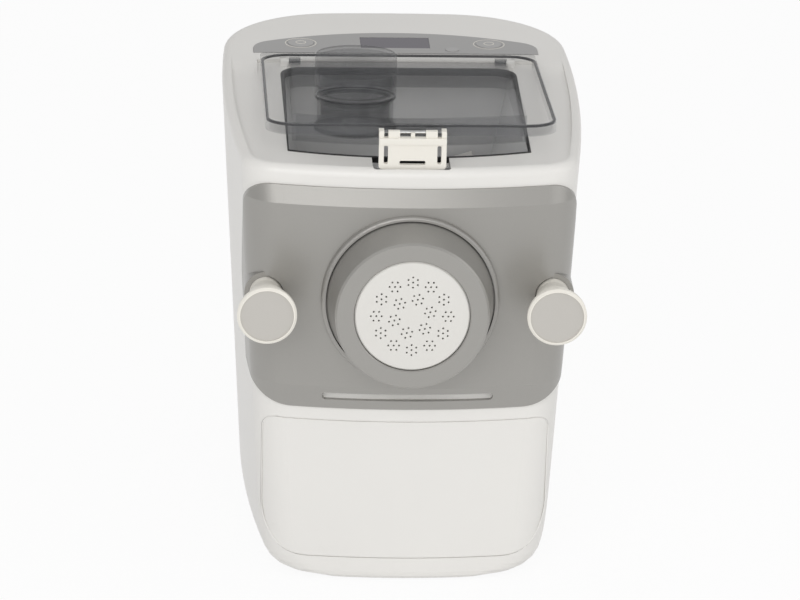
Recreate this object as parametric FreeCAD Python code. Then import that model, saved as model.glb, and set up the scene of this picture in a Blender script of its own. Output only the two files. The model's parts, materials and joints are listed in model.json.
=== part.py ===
import FreeCAD
import Part
import math
import os

# Electric pasta maker: a tapered housing with a mixing chamber under a clear lid, a horizontal
# drive shaft that turns a paddle and an auger, a shaping disc held by a nut, and a drawer.
# Millimetres, +Z up. In the working frame the front faces -Y and y = 0 is the middle of the housing.

# Housing
TOP_WIDTH = 216.0
BODY_DEPTH = 313.0
SIDE_DRAFT_DEG = 3.15
SIDE_BOW_RADIUS = 1250.0
SIDE_WIDEST_Y = 25.0
FRONT_BOW_RADIUS = 380.0
REAR_BOW_RADIUS = 700.0
FRONT_CORNER_RADIUS = 24.0
REAR_CORNER_RADIUS = 71.0
LOWER_SIDE_RADIUS = 42.0
BOTTOM_EDGE_RADIUS = 5.0
TOP_EDGE_RADIUS = 5.0
WALL = 2.6
RIM_WIDTH = 6.0
FOOT_HEIGHT = 1.0
FOOT_RADIUS = 9.0
FOOT_X = 34.0
FOOT_INSET_Y = 44.0
FOOT_SEAT_DEPTH = 1.2
HATCH_HALF_WIDTH = 40.0
HATCH_HALF_LENGTH = 90.0
HATCH_CORNER_RADIUS = 12.0
HATCH_FLANGE = 5.0
HATCH_FLANGE_THICKNESS = 2.4

# Deck, control panel and buttons
DECK_ABOVE_SHAFT = 77.0
DECK_THICKNESS = 6.0
RECESS_DEPTH = 2.0
FASCIA_THICKNESS = 1.6
FASCIA_PROUD = 0.4
FASCIA_HALF_WIDTH = 88.0
FASCIA_REAR_MARGIN = 47.5
FASCIA_DEPTH = 42.0
FASCIA_REAR_BOW = 180.0
FASCIA_CORNER_RADIUS = 16.0
DISPLAY_WIDTH = 43.0
DISPLAY_DEPTH = 22.0
DISPLAY_SETBACK = 20.5
BUTTON_RADIUS = 8.0
SMALL_BUTTON_RADIUS = 4.2
BUTTON_X = 58.5
BUTTON_SETBACK = 22.5
SMALL_BUTTON_X = 35.0
SMALL_BUTTON_SETBACK = 34.5
BUTTON_PROUD = 0.5
BUTTON_TRAVEL = 1.0
BUTTON_FLANGE = 1.2
BUTTON_BODY = 2.5
BOARD_DROP = 6.0
BOARD_THICKNESS = 1.6
BOARD_MARGIN = 20.0
BOARD_DEPTH = 35.0
POST_RADIUS = 3.0

# Shaft line and mixing chamber
SHAFT_HEIGHT = 181.0
CHAMBER_SETBACK = 22.5
CHAMBER_LENGTH = 194.0
CHAMBER_SIDE_MARGIN = 35.0
TROUGH_RADIUS = 58.5
CHAMBER_WALL = 2.5
OPENING_CORNER_RADIUS = 12.0
OPENING_SETBACK = 29.5
OPENING_BOW_RADIUS = 215.0
SHAFT_RADIUS = 6.0
HUB_RADIUS = 10.0
PADDLE_REACH = 51.0
PADDLE_BAR = 7.0
PADDLE_TILT_DEG = 18.0
PADDLE_BARS = 5
PADDLE_GAP = 1.5
CRADLE_RIB = 8.0
CRADLE_INSET = 14.0

# Extrusion tube, disc and nut
TUBE_BORE_RADIUS = 28.5
TUBE_WALL = 4.5
COLLAR_RADIUS = 40.0
COLLAR_LENGTH = 13.0
AUGER_CLEARANCE = 1.3
AUGER_PITCH = 17.0
AUGER_THREAD = 3.5
AUGER_TIP_CHAMFER = 0.6
DISC_RADIUS = 38.0
DISC_FACE_RADIUS = 33.2
DISC_FLANGE = 8.0
DISC_FACE_PROUD = 3.2
DISC_EDGE = 0.8
HOLE_RADIUS = 0.6
HOLE_RING_RADIUS = 3.1
HOLES_IN_RING = 6
OUTER_GROUP_RADIUS = 20.7
INNER_GROUP_RADIUS = 10.6
OUTER_GROUPS = 12
INNER_GROUPS = 6
INNER_GROUP_START_DEG = 74.0
DISC_LAND = 2.0
NUT_PROJECTION = 34.5
NUT_FACE_RADIUS = 44.5
NUT_REAR_RADIUS = 48.5
NUT_LIP = 4.0
NUT_OPENING_RADIUS = 33.5
NUT_LENGTH = 28.0
NUT_EDGE = 1.2
NUT_SHOULDER = 5.0

# Front panel and fixing knobs
PANEL_DROP = 11.2
PANEL_BELOW_SHAFT = 70.5
PANEL_SIDE_MARGIN = 11.0
PANEL_WRAP = 40.0
PANEL_PUSH = 4.8
PANEL_EDGE = 1.2
PANEL_TOP_SLOPE = 9.8
PANEL_LOW_SLOPE = 15.0
PANEL_TOP_RADIUS = 16.0
PANEL_LOW_RADIUS = 30.0
PAD_TOP_RADIUS = 22.0
PAD_LOW_RADIUS = 24.0
PAD_MARGIN = 1.5
GRIP_HALF_WIDTH = 50.0
GRIP_HEIGHT = 4.8
GRIP_RISE = 6.0
GRIP_DEPTH = 1.2
BOSS_PROUD = 3.5
BOSS_WALL = 2.5
BOSS_EDGE = 1.5
KNOB_SIDE_MARGIN = 24.6
KNOB_PROJECTION = 35.0
KNOB_DISC_RADIUS = 17.2
KNOB_DISC_THICKNESS = 5.0
KNOB_DISC_EDGE = 1.2
KNOB_BODY_RADIUS = 13.0
KNOB_BODY_LENGTH = 18.0
KNOB_BASE_RADIUS = 9.6
KNOB_BASE_LENGTH = 6.0
KNOB_RIM = 1.8
KNOB_INSET = 0.8
KNOB_CAP_THICKNESS = 1.5
KNOB_SEAT_DEPTH = 2.0
KNOB_COLLAR = 3.0
STUD_RADIUS = 3.0
STUD_LENGTH = 22.0
STUD_IN_KNOB = 12.0
INSERT_LENGTH = 11.0
INSERT_RADIUS = 6.0

# Lid, latch and water inlet
LID_SIDE_MARGIN = 23.5
LID_SETBACK = 12.5
LID_LENGTH = 194.0
LID_HEIGHT = 7.4
LID_THICKNESS = 2.4
LID_WALL = 2.2
LID_FRONT_RADIUS = 18.0
LID_REAR_RADIUS = 5.0
LID_EDGE = 0.8
LID_GAP = 0.6
LID_AJAR_DEG = 5.4
SKIRT_GAP = 2.0
SKIRT_FRONT_GAP = 5.0
SKIRT_DEPTH = 11.0
SKIRT_RADIUS = 12.0
SKIRT_WALL = 2.2
HINGE_INSET = 2.0
HINGE_X = 72.0
HINGE_PIN_RADIUS = 1.2
HINGE_KNUCKLE_RADIUS = 2.4
HINGE_LUG_WIDTH = 5.0
HINGE_KNUCKLE_WIDTH = 7.0
HINGE_SWEEP = 6.0
TOWER_X = -30.5
TOWER_SETBACK = 81.5
TOWER_RADIUS = 24.2
TOWER_CUP_HEIGHT = 14.4
TOWER_HEIGHT = 26.5
TOWER_WALL = 2.2
TOWER_ROOF_EDGE = 2.0
TOWER_TUBE_RADIUS = 22.6
TOWER_TUBE_DROP = 20.4
TOWER_FLOOR = 2.4
TOWER_MOUTH_RADIUS = 18.0
SEAL_HEIGHT = 2.4
SEAL_WIDTH = 1.6
LATCH_WIDTH = 39.0
LATCH_HEIGHT = 23.0
LATCH_THICKNESS = 3.0
LATCH_CORNER_RADIUS = 2.0
LATCH_TOP_DROP = 2.4
LATCH_ARM = 2.9
LATCH_SLOT = 2.4
LATCH_SLOT_LENGTH = 11.0
LATCH_WINDOW_HALF = 7.5
LATCH_WINDOW_HEIGHT = 2.6
LATCH_WINDOW_RISE = 2.6
LATCH_BAR_DROP = 4.0
LATCH_BAR_HEIGHT = 3.8
LATCH_BAR_PROUD = 1.2
LATCH_SIDE_GAP = 3.0
LATCH_FRONT_GAP = 1.2
LATCH_PIN_RADIUS = 1.2
LATCH_PIN_RING = 2.4
LATCH_PIN_REACH = 2.6
STRIKE_HALF_WIDTH = 14.0
STRIKE_HEIGHT = 4.0
STRIKE_DEPTH = 3.0
SWITCH_WIDTH = 10.0
SWITCH_LENGTH = 16.0
SWITCH_HEIGHT = 9.0

# Drawer
DRAWER_SIDE_MARGIN = 24.0
DRAWER_BOTTOM = 16.0
DRAWER_BELOW_PANEL = 8.5
DRAWER_TOP_RADIUS = 8.0
DRAWER_LOW_RADIUS = 30.0
DRAWER_SKIN = 3.0
TRAY_SIDE_MARGIN = 18.0
TRAY_LENGTH = 196.0
TRAY_FRONT_WALL_SETBACK = 15.5
TRAY_WALL = 2.0
TRAY_RISE = 2.0
TRAY_HEADROOM = 13.0
TRAY_CORNER_RADIUS = 10.0
INNER_FLOOR_THICKNESS = 3.0
INNER_FLOOR_GAP = 2.5

# Gear train
PRESSURE_ANGLE_DEG = 25.0
FIRST_MODULE = 1.5
SECOND_MODULE = 1.75
PINION_TEETH = 12
IDLER_LARGE_TEETH = 48
IDLER_SMALL_TEETH = 14
FINAL_TEETH = 50
GEAR_BACKLASH = 0.12
GEAR_ROOT = 1.2
FIRST_GEAR_WIDTH = 6.0
SECOND_GEAR_WIDTH = 9.0
GEAR_GAP = 2.0
IDLER_SIDE_DEG = 25.0
IDLER_PIN_RADIUS = 4.0
IDLER_NECK_WALL = 4.0
FINAL_HOLES = 6
FINAL_HOLE_RADIUS = 8.0
FINAL_HOLE_RING = 25.0
PLATE_THICKNESS = 3.0
PLATE_HALF_WIDTH = 60.0
PLATE_SETBACK = 4.0
PLATE_HEADROOM = 16.0
PLATE_TOP_RADIUS = 20.0
PLATE_LOW_RADIUS = 16.0
SPACER_RADIUS = 4.0
SPACER_INSET = 8.0
SPACER_RISE = 22.0
MOTOR_RADIUS = 35.0
MOTOR_LENGTH = 50.0
MOTOR_FLAT = 5.0
MOTOR_CAP = 8.0
MOTOR_SHAFT_RADIUS = 4.0
FAN_RADIUS = 27.0
FAN_HUB_RADIUS = 9.0
FAN_WIDTH = 5.0
FAN_BLADES = 7
FAN_BLADE_HALF = 6.0
FAN_BLADE_THICKNESS = 1.5
FAN_GAP = 2.0
BUSH_WALL = 4.0

# Rear openings and power board
VENT_SLOTS = 7
VENT_WIDTH = 70.0
VENT_SLOT_HEIGHT = 3.0
VENT_SLOT_RADIUS = 1.4
VENT_PITCH = 7.0
VENT_LOW = 60.0
GLAND_X = 20.0
GLAND_HEIGHT = 46.0
GLAND_RADIUS = 7.0
GLAND_BORE_RADIUS = 3.6
GLAND_LIP = 4.0
GLAND_FLANGE = 2.5
POWER_BOARD_HALF_WIDTH = 48.0
POWER_BOARD_HEIGHT = 60.0
POWER_BOARD_STANDOFF = 8.0
POWER_BOARD_DROP = 8.0
CAPACITOR_RADIUS = 8.0
CAPACITOR_LENGTH = 14.0

# Fits
SEAT = 0.3
RUNNING = 0.05
SLIDE_GAP = 0.7
CUT = 1.0

V = FreeCAD.Vector
FRONT_Y = -BODY_DEPTH / 2
REAR_Y = BODY_DEPTH / 2
HALF_WIDTH = TOP_WIDTH / 2
NUT_FACE_Y = FRONT_Y - NUT_PROJECTION
KNOB_FACE_Y = FRONT_Y - KNOB_PROJECTION
KNOB_X = HALF_WIDTH - KNOB_SIDE_MARGIN
ORIGIN_SHIFT = -(KNOB_FACE_Y + REAR_Y) / 2
DECK_HEIGHT = SHAFT_HEIGHT + DECK_ABOVE_SHAFT
DECK_UNDERSIDE = DECK_HEIGHT - DECK_THICKNESS
DECK_FLOOR = DECK_HEIGHT - RECESS_DEPTH
FASCIA_SEAT = DECK_HEIGHT + FASCIA_PROUD - FASCIA_THICKNESS
FASCIA_REAR_Y = REAR_Y - FASCIA_REAR_MARGIN
FASCIA_FRONT_Y = FASCIA_REAR_Y - FASCIA_DEPTH
DISPLAY_Y = FASCIA_REAR_Y - DISPLAY_SETBACK
BUTTON_Y = FASCIA_REAR_Y - BUTTON_SETBACK
SMALL_BUTTON_Y = FASCIA_REAR_Y - SMALL_BUTTON_SETBACK
BOARD_TOP = DECK_UNDERSIDE - BOARD_DROP
BASE_BOTTOM = FOOT_HEIGHT
FLOOR_TOP = BASE_BOTTOM + WALL
BASE_TOP = FLOOR_TOP + HATCH_FLANGE_THICKNESS
CHAMBER_FRONT_Y = FRONT_Y + CHAMBER_SETBACK
CHAMBER_REAR_Y = CHAMBER_FRONT_Y + CHAMBER_LENGTH
CHAMBER_HALF_TOP = HALF_WIDTH - CHAMBER_SIDE_MARGIN
OPENING_HALF = CHAMBER_HALF_TOP - CHAMBER_WALL
OPENING_FRONT_Y = FRONT_Y + OPENING_SETBACK
PANEL_TOP = DECK_HEIGHT - PANEL_DROP
PANEL_BOTTOM = SHAFT_HEIGHT - PANEL_BELOW_SHAFT
PANEL_HALF_WIDTH = HALF_WIDTH - PANEL_SIDE_MARGIN
DRAWER_TOP = PANEL_BOTTOM - DRAWER_BELOW_PANEL
DRAWER_HALF_WIDTH = HALF_WIDTH - DRAWER_SIDE_MARGIN
INNER_FLOOR_Z = DRAWER_TOP + INNER_FLOOR_GAP
TRAY_FRONT_Y = FRONT_Y + TRAY_FRONT_WALL_SETBACK
LID_HALF_WIDTH = HALF_WIDTH - LID_SIDE_MARGIN
LID_FRONT_Y = FRONT_Y + LID_SETBACK
LID_REAR_Y = LID_FRONT_Y + LID_LENGTH
LID_BOTTOM = DECK_FLOOR + LID_GAP
LID_TOP = LID_BOTTOM + LID_HEIGHT
LID_CEILING = LID_TOP - LID_THICKNESS
HINGE_Y = LID_REAR_Y - HINGE_INSET
OPENING_REAR_Y = HINGE_Y - HINGE_SWEEP
HINGE_Z = LID_CEILING - SEAT - HINGE_KNUCKLE_RADIUS
TOWER_Y = FRONT_Y + TOWER_SETBACK
LATCH_PIN_Y = LID_FRONT_Y - LATCH_PIN_REACH
LATCH_PIN_Z = LID_TOP - LATCH_TOP_DROP - LATCH_PIN_RING
TUBE_OUTER_RADIUS = TUBE_BORE_RADIUS + TUBE_WALL
DISC_FLANGE_Y = NUT_FACE_Y + NUT_LIP
TUBE_FRONT_Y = DISC_FLANGE_Y + DISC_FLANGE
BOSS_Y = FRONT_Y - PANEL_EDGE - PANEL_PUSH - BOSS_PROUD
BOSS_BORE_RADIUS = NUT_REAR_RADIUS + SLIDE_GAP
FIRST_CENTRES = FIRST_MODULE * (PINION_TEETH + IDLER_LARGE_TEETH) / 2
SECOND_CENTRES = SECOND_MODULE * (IDLER_SMALL_TEETH + FINAL_TEETH) / 2
IDLER_X = SECOND_CENTRES * math.sin(math.radians(IDLER_SIDE_DEG))
IDLER_Z = SHAFT_HEIGHT - SECOND_CENTRES * math.cos(math.radians(IDLER_SIDE_DEG))
MOTOR_Z = IDLER_Z - math.sqrt(FIRST_CENTRES ** 2 - IDLER_X ** 2)
FRONT_PLATE_Y = CHAMBER_REAR_Y + PLATE_SETBACK
FIRST_GEAR_Y = FRONT_PLATE_Y + PLATE_THICKNESS + GEAR_GAP
SECOND_GEAR_Y = FIRST_GEAR_Y + FIRST_GEAR_WIDTH + GEAR_GAP
REAR_PLATE_Y = SECOND_GEAR_Y + SECOND_GEAR_WIDTH + GEAR_GAP
MOTOR_Y = REAR_PLATE_Y + PLATE_THICKNESS
PLATE_TOP = DECK_UNDERSIDE - PLATE_HEADROOM
BUSH_RADIUS = SHAFT_RADIUS + RUNNING + BUSH_WALL


# Basic solids
def box(x0, x1, y0, y1, z0, z1):
    return Part.makeBox(x1 - x0, y1 - y0, z1 - z0, V(x0, y0, z0))


def mirrored_box(side, x0, x1, y0, y1, z0, z1):
    """A box between two distances from the middle plane, on the side given."""
    low, high = sorted((side * x0, side * x1))
    return box(low, high, y0, y1, z0, z1)


def rod_x(y, z, radius, x0, x1):
    return Part.makeCylinder(radius, x1 - x0, V(x0, y, z), V(1, 0, 0))


def mirrored_rod(side, y, z, radius, x0, x1):
    low, high = sorted((side * x0, side * x1))
    return rod_x(y, z, radius, low, high)


def rod_y(x, z, radius, y0, y1):
    return Part.makeCylinder(radius, y1 - y0, V(x, y0, z), V(0, 1, 0))


def rod_z(x, y, radius, z0, z1):
    return Part.makeCylinder(radius, z1 - z0, V(x, y, z0), V(0, 0, 1))


def spun(points, x, z):
    """A turned piece: (radius, y) points spun about the line through (x, z) along Y."""
    corners = [V(x + r, y, z) for r, y in points]
    face = Part.Face(Part.makePolygon(corners + corners[:1]))
    return face.revolve(V(x, 0, z), V(0, 1, 0), 360)


def rounded_outline(x0, x1, v0, v1, low_radius, high_radius):
    """Lines and arcs of a rectangle in (x, v) with its own corner radius at the low and high side."""
    k = 1 - math.sqrt(0.5)
    lows = low_radius
    highs = high_radius
    return [
        ("line", (x0 + lows, v0), (x1 - lows, v0)),
        ("arc", (x1 - lows, v0), (x1 - k * lows, v0 + k * lows), (x1, v0 + lows)),
        ("line", (x1, v0 + lows), (x1, v1 - highs)),
        ("arc", (x1, v1 - highs), (x1 - k * highs, v1 - k * highs), (x1 - highs, v1)),
        ("line", (x1 - highs, v1), (x0 + highs, v1)),
        ("arc", (x0 + highs, v1), (x0 + k * highs, v1 - k * highs), (x0, v1 - highs)),
        ("line", (x0, v1 - highs), (x0, v0 + lows)),
        ("arc", (x0, v0 + lows), (x0 + k * lows, v0 + k * lows), (x0 + lows, v0)),
    ]


def outline_face(parts, place):
    edges = []
    for kind, *points in parts:
        placed = [place(u, v) for u, v in points]
        if kind == "line":
            edges.append(Part.LineSegment(*placed).toShape())
        else:
            edges.append(Part.Arc(*placed).toShape())
    return Part.Face(Part.Wire(edges))


def plan_slab(half, y0, y1, front_radius, rear_radius, z0, z1):
    """A plate with rounded corners, flat in Z."""
    parts = rounded_outline(-half, half, y0, y1, front_radius, rear_radius)
    return outline_face(parts, lambda u, v: V(u, v, z0)).extrude(V(0, 0, z1 - z0))


def front_slab(x0, x1, z0, z1, low_radius, high_radius, y0, y1):
    """A plate with rounded corners, flat in Y."""
    parts = rounded_outline(x0, x1, z0, z1, low_radius, high_radius)
    return outline_face(parts, lambda u, v: V(u, y0, v)).extrude(V(0, y1 - y0, 0))


def flat_edges(solid, z):
    return [e for e in solid.Edges if abs(e.BoundBox.ZMin - z) < 0.01 and abs(e.BoundBox.ZMax - z) < 0.01]


# Housing form: bowed front, sides and rear with round corners, narrower towards its foot
def half_width(z):
    return HALF_WIDTH - (DECK_HEIGHT - z) * math.tan(math.radians(SIDE_DRAFT_DEG))


def front_surface_y(x):
    """Front face of the housing at x, as far as the bow reaches."""
    return FRONT_Y + FRONT_BOW_RADIUS - math.sqrt(FRONT_BOW_RADIUS ** 2 - x ** 2)


def rear_surface_y(x):
    return REAR_Y - REAR_BOW_RADIUS + math.sqrt(REAR_BOW_RADIUS ** 2 - x ** 2)


def corner_arc(centre_y, big_radius, side_x, side_radius, corner_radius, end):
    """Ends and middle of the arc that joins the front (end -1) or rear (end 1) bow to the right side bow."""
    a = V(0, centre_y, 0)
    b = V(side_x, SIDE_WIDEST_Y, 0)
    reach_a = big_radius - corner_radius
    reach_b = side_radius - corner_radius
    gap = b.sub(a)
    along = (reach_a ** 2 - reach_b ** 2 + gap.Length ** 2) / (2 * gap.Length)
    across = math.sqrt(reach_a ** 2 - along ** 2)
    unit = V(gap).normalize()
    normal = V(-unit.y, unit.x, 0)
    feet = [a + unit * along + normal * (s * across) for s in (-1, 1)]
    centre = max(feet, key=lambda p: p.y * end)
    towards_a = (centre.sub(a)).normalize()
    towards_b = (centre.sub(b)).normalize()
    middle = (towards_a + towards_b).normalize()
    return [centre + v * corner_radius for v in (towards_a, middle, towards_b)]


def plan_wire(z, half, inset, push, trim, share):
    """The housing's outline at one height, half wide each way: trim draws front and rear in, share the corners."""
    front_radius = FRONT_BOW_RADIUS - inset - trim
    rear_radius = REAR_BOW_RADIUS - inset - trim
    side_radius = SIDE_BOW_RADIUS - inset
    side_x = half - side_radius
    front_centre = FRONT_Y + FRONT_BOW_RADIUS - push
    rear_centre = REAR_Y - REAR_BOW_RADIUS
    front_corner = share * (FRONT_CORNER_RADIUS - inset)
    rear_corner = share * (REAR_CORNER_RADIUS - inset)
    front = corner_arc(front_centre, front_radius, side_x, side_radius, front_corner, -1)
    rear = corner_arc(rear_centre, rear_radius, side_x, side_radius, rear_corner, 1)

    def right(p):
        return V(p.x, p.y, z)

    def left(p):
        return V(-p.x, p.y, z)

    chains = [
        (left(front[0]), V(0, front_centre - front_radius, z), right(front[0])),
        tuple(right(p) for p in front),
        (right(front[2]), V(half, SIDE_WIDEST_Y, z), right(rear[2])),
        tuple(right(p) for p in reversed(rear)),
        (right(rear[0]), V(0, rear_centre + rear_radius, z), left(rear[0])),
        tuple(left(p) for p in rear),
        (left(rear[2]), V(-half, SIDE_WIDEST_Y, z), left(front[2])),
        tuple(left(p) for p in reversed(front)),
    ]
    return Part.Wire([Part.Arc(*chain).toShape() for chain in chains])


def lower_sections(inset, push):
    """Outlines of the rounded lower part, from its flat bottom up to where the straight side starts."""
    draft = math.radians(SIDE_DRAFT_DEG)
    centre_z = BASE_BOTTOM + LOWER_SIDE_RADIUS
    centre_x = half_width(centre_z) - LOWER_SIDE_RADIUS / math.cos(draft)
    radius = LOWER_SIDE_RADIUS - inset
    turns = [math.radians(d) for d in (90, 84, 77, 69, 61, 52, 43, 33, 23, 13)] + [draft]
    wires = []
    for turn in turns:
        z = centre_z - radius * math.sin(turn)
        up = z - BASE_BOTTOM
        trim = 0.0
        if inset == 0 and up < BOTTOM_EDGE_RADIUS:
            trim = BOTTOM_EDGE_RADIUS - math.sqrt(BOTTOM_EDGE_RADIUS ** 2 - (BOTTOM_EDGE_RADIUS - up) ** 2)
        half = centre_x + radius * math.cos(turn)
        share = half / (centre_x + radius * math.cos(draft))
        wires.append(plan_wire(z, half, inset, push, trim, share))
    return wires


def straight_section(z, inset, push):
    half = half_width(z) - inset / math.cos(math.radians(SIDE_DRAFT_DEG))
    return plan_wire(z, half, inset, push, 0.0, 1.0)


def full_form(inset, push):
    """The housing's outer form drawn in by inset, its front pushed out by push, up to the deck."""
    low = lower_sections(inset, push)
    foot = Part.makeLoft(low, True, True)
    body = Part.makeLoft([low[-1], straight_section(DECK_HEIGHT, inset, push)], True, True)
    return foot.fuse(body).Solids[0]


forms = {}


def envelope(inset, z0, z1, push=0.0):
    """The housing's outer form between two heights, drawn in by inset."""
    if (inset, push) not in forms:
        forms[(inset, push)] = full_form(inset, push)
    far = BODY_DEPTH
    return forms[(inset, push)].common(box(-far, far, -far, far, z0, min(z1, DECK_HEIGHT))).Solids[0]


def drawer_opening(clearance, y0, y1):
    half = DRAWER_HALF_WIDTH + clearance
    low = DRAWER_LOW_RADIUS + clearance
    high = DRAWER_TOP_RADIUS + clearance
    return front_slab(-half, half, DRAWER_BOTTOM - clearance, DRAWER_TOP + clearance, low, high, y0, y1)


def hatch(half, length, z0, z1):
    """A block with the outline of the service hatch in the floor."""
    return plan_slab(half, -length, length, HATCH_CORNER_RADIUS, HATCH_CORNER_RADIUS, z0, z1)


def housing_shell():
    body = envelope(0.0, BASE_BOTTOM, DECK_HEIGHT)
    body = body.makeFillet(TOP_EDGE_RADIUS, flat_edges(body, DECK_HEIGHT))
    body = body.cut(envelope(WALL, BASE_BOTTOM, DECK_UNDERSIDE))
    body = body.cut(envelope(RIM_WIDTH, DECK_UNDERSIDE - CUT, DECK_HEIGHT))
    body = body.cut(hatch(HATCH_HALF_WIDTH, HATCH_HALF_LENGTH, BASE_BOTTOM - CUT, FLOOR_TOP + CUT))
    for x, y in foot_places():
        body = body.cut(rod_z(x, y, FOOT_RADIUS, BASE_BOTTOM - CUT, BASE_BOTTOM + FOOT_SEAT_DEPTH))
    body = body.cut(drawer_opening(SLIDE_GAP, FRONT_Y - CUT, TRAY_FRONT_Y + PANEL_WRAP / 2))
    body = body.cut(rod_y(0, SHAFT_HEIGHT, COLLAR_RADIUS + BOSS_PROUD, FRONT_Y - CUT, CHAMBER_FRONT_Y))
    body = body.cut(grip(0.0, FRONT_Y - CUT, FRONT_Y + GRIP_DEPTH))
    body = body.cut(latch_pocket(DECK_UNDERSIDE - CUT, DECK_HEIGHT + CUT))
    for side in (-1, 1):
        body = body.cut(rod_y(side * KNOB_X, SHAFT_HEIGHT, STUD_RADIUS + SEAT, FRONT_Y, CHAMBER_FRONT_Y))
    for i in range(VENT_SLOTS):
        z = VENT_LOW + i * VENT_PITCH
        half = VENT_WIDTH / 2
        high = z + VENT_SLOT_HEIGHT
        radius = VENT_SLOT_RADIUS
        body = body.cut(front_slab(-half, half, z, high, radius, radius, REAR_Y - 4 * WALL, REAR_Y + CUT))
    return body.cut(rod_y(GLAND_X, GLAND_HEIGHT, GLAND_RADIUS, REAR_Y - 4 * WALL, REAR_Y + CUT))


# Deck and control panel
def fascia_form(grow, z0, z1):
    half = FASCIA_HALF_WIDTH + grow
    rear = FASCIA_REAR_Y + grow
    radius = FASCIA_REAR_BOW
    drop = radius - math.sqrt(radius ** 2 - half ** 2)
    front = FASCIA_FRONT_Y - grow
    wire = Part.Wire([
        Part.LineSegment(V(-half, front, z0), V(half, front, z0)).toShape(),
        Part.LineSegment(V(half, front, z0), V(half, rear - drop, z0)).toShape(),
        Part.Arc(V(half, rear - drop, z0), V(0, rear, z0), V(-half, rear - drop, z0)).toShape(),
        Part.LineSegment(V(-half, rear - drop, z0), V(-half, front, z0)).toShape(),
    ])
    solid = Part.Face(wire).extrude(V(0, 0, z1 - z0))
    corners = [e for e in solid.Edges if e.BoundBox.ZLength > 0.5 * (z1 - z0) and e.CenterOfMass.y > front + CUT]
    return solid.makeFillet(FASCIA_CORNER_RADIUS, corners)


def buttons():
    return [
        ("start_button", -BUTTON_X, BUTTON_Y, BUTTON_RADIUS),
        ("program_button", BUTTON_X, BUTTON_Y, BUTTON_RADIUS),
        ("select_button", SMALL_BUTTON_X, SMALL_BUTTON_Y, SMALL_BUTTON_RADIUS),
    ]


def display_block(shrink, z0, z1):
    half = DISPLAY_WIDTH / 2 - shrink
    depth = DISPLAY_DEPTH / 2 - shrink
    return box(-half, half, DISPLAY_Y - depth, DISPLAY_Y + depth, z0, z1)


def chamber_opening(z0, z1):
    """The opening over the mixing chamber, its front edge bowed like the housing's front."""
    radius = OPENING_CORNER_RADIUS
    block = plan_slab(OPENING_HALF, OPENING_FRONT_Y, OPENING_REAR_Y, radius, radius, z0, z1)
    centre = OPENING_FRONT_Y + OPENING_BOW_RADIUS
    return block.common(rod_z(0, centre, OPENING_BOW_RADIUS, z0, z1))


def latch_pocket(z0, z1):
    half = LATCH_WIDTH / 2 + LATCH_SIDE_GAP
    radius = LATCH_CORNER_RADIUS
    front = LATCH_PIN_Y - LATCH_PIN_REACH - LATCH_THICKNESS - LATCH_FRONT_GAP
    return plan_slab(half, front, OPENING_FRONT_Y + radius + CUT, radius, radius, z0, z1)


def hinge_x():
    """Distances from the middle where each hinge's lug and knuckle begin and end."""
    lug_inner = HINGE_X - HINGE_LUG_WIDTH
    knuckle_outer = lug_inner - SEAT
    return lug_inner, knuckle_outer - HINGE_KNUCKLE_WIDTH, knuckle_outer


def top_deck():
    deck = envelope(RIM_WIDTH, DECK_UNDERSIDE, DECK_HEIGHT)
    far = BODY_DEPTH
    deck = deck.cut(box(-far, far, -far, HINGE_Y + HINGE_SWEEP, DECK_FLOOR, DECK_HEIGHT + CUT))
    deck = deck.cut(chamber_opening(DECK_UNDERSIDE - CUT, DECK_HEIGHT))
    deck = deck.cut(latch_pocket(DECK_UNDERSIDE - CUT, DECK_HEIGHT + CUT))
    deck = deck.cut(fascia_form(SEAT / 2, FASCIA_SEAT, DECK_HEIGHT + CUT))
    deck = deck.cut(display_block(0.0, DECK_UNDERSIDE - CUT, DECK_HEIGHT))
    for name, x, y, radius in buttons():
        deck = deck.cut(rod_z(x, y, radius + BUTTON_FLANGE + SEAT, DECK_UNDERSIDE - CUT, DECK_HEIGHT))
    lug_inner, knuckle_inner, knuckle_outer = hinge_x()
    radius = HINGE_KNUCKLE_RADIUS
    for side in (-1, 1):
        lug = mirrored_rod(side, HINGE_Y, HINGE_Z, radius, lug_inner, HINGE_X)
        foot = mirrored_box(side, lug_inner, HINGE_X, HINGE_Y - radius, HINGE_Y + radius, DECK_FLOOR - CUT, HINGE_Z)
        bore = mirrored_rod(side, HINGE_Y, HINGE_Z, HINGE_PIN_RADIUS, lug_inner - CUT, HINGE_X + CUT)
        deck = deck.fuse(lug.fuse(foot).cut(bore))
        for y in (board_front_y() + POST_RADIUS + CUT, board_front_y() + BOARD_DEPTH - POST_RADIUS - CUT):
            x = side * (BUTTON_X + BOARD_MARGIN - POST_RADIUS - 2 * CUT)
            deck = deck.fuse(rod_z(x, y, POST_RADIUS, BOARD_TOP, DECK_UNDERSIDE + CUT))
    return deck


def control_fascia():
    plate = fascia_form(0.0, FASCIA_SEAT, FASCIA_SEAT + FASCIA_THICKNESS)
    for name, x, y, radius in buttons():
        plate = plate.cut(rod_z(x, y, radius + SEAT / 2, FASCIA_SEAT - CUT, DECK_HEIGHT + 2 * CUT))
    return plate.cut(display_block(0.0, FASCIA_SEAT - CUT, DECK_HEIGHT + 2 * CUT))


def display_window():
    return display_block(SEAT / 3, FASCIA_SEAT, FASCIA_SEAT + FASCIA_THICKNESS - SEAT / 2)


def display_module():
    return display_block(2.0, BOARD_TOP, FASCIA_SEAT)


def board_front_y():
    return BUTTON_Y - BOARD_DEPTH + BUTTON_RADIUS + BUTTON_FLANGE + BOARD_THICKNESS + 2 * CUT


def control_board():
    reach = BUTTON_X + BOARD_MARGIN
    y0 = board_front_y()
    return plan_slab(reach, y0, y0 + BOARD_DEPTH, POST_RADIUS, POST_RADIUS, BOARD_TOP - BOARD_THICKNESS, BOARD_TOP)


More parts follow.
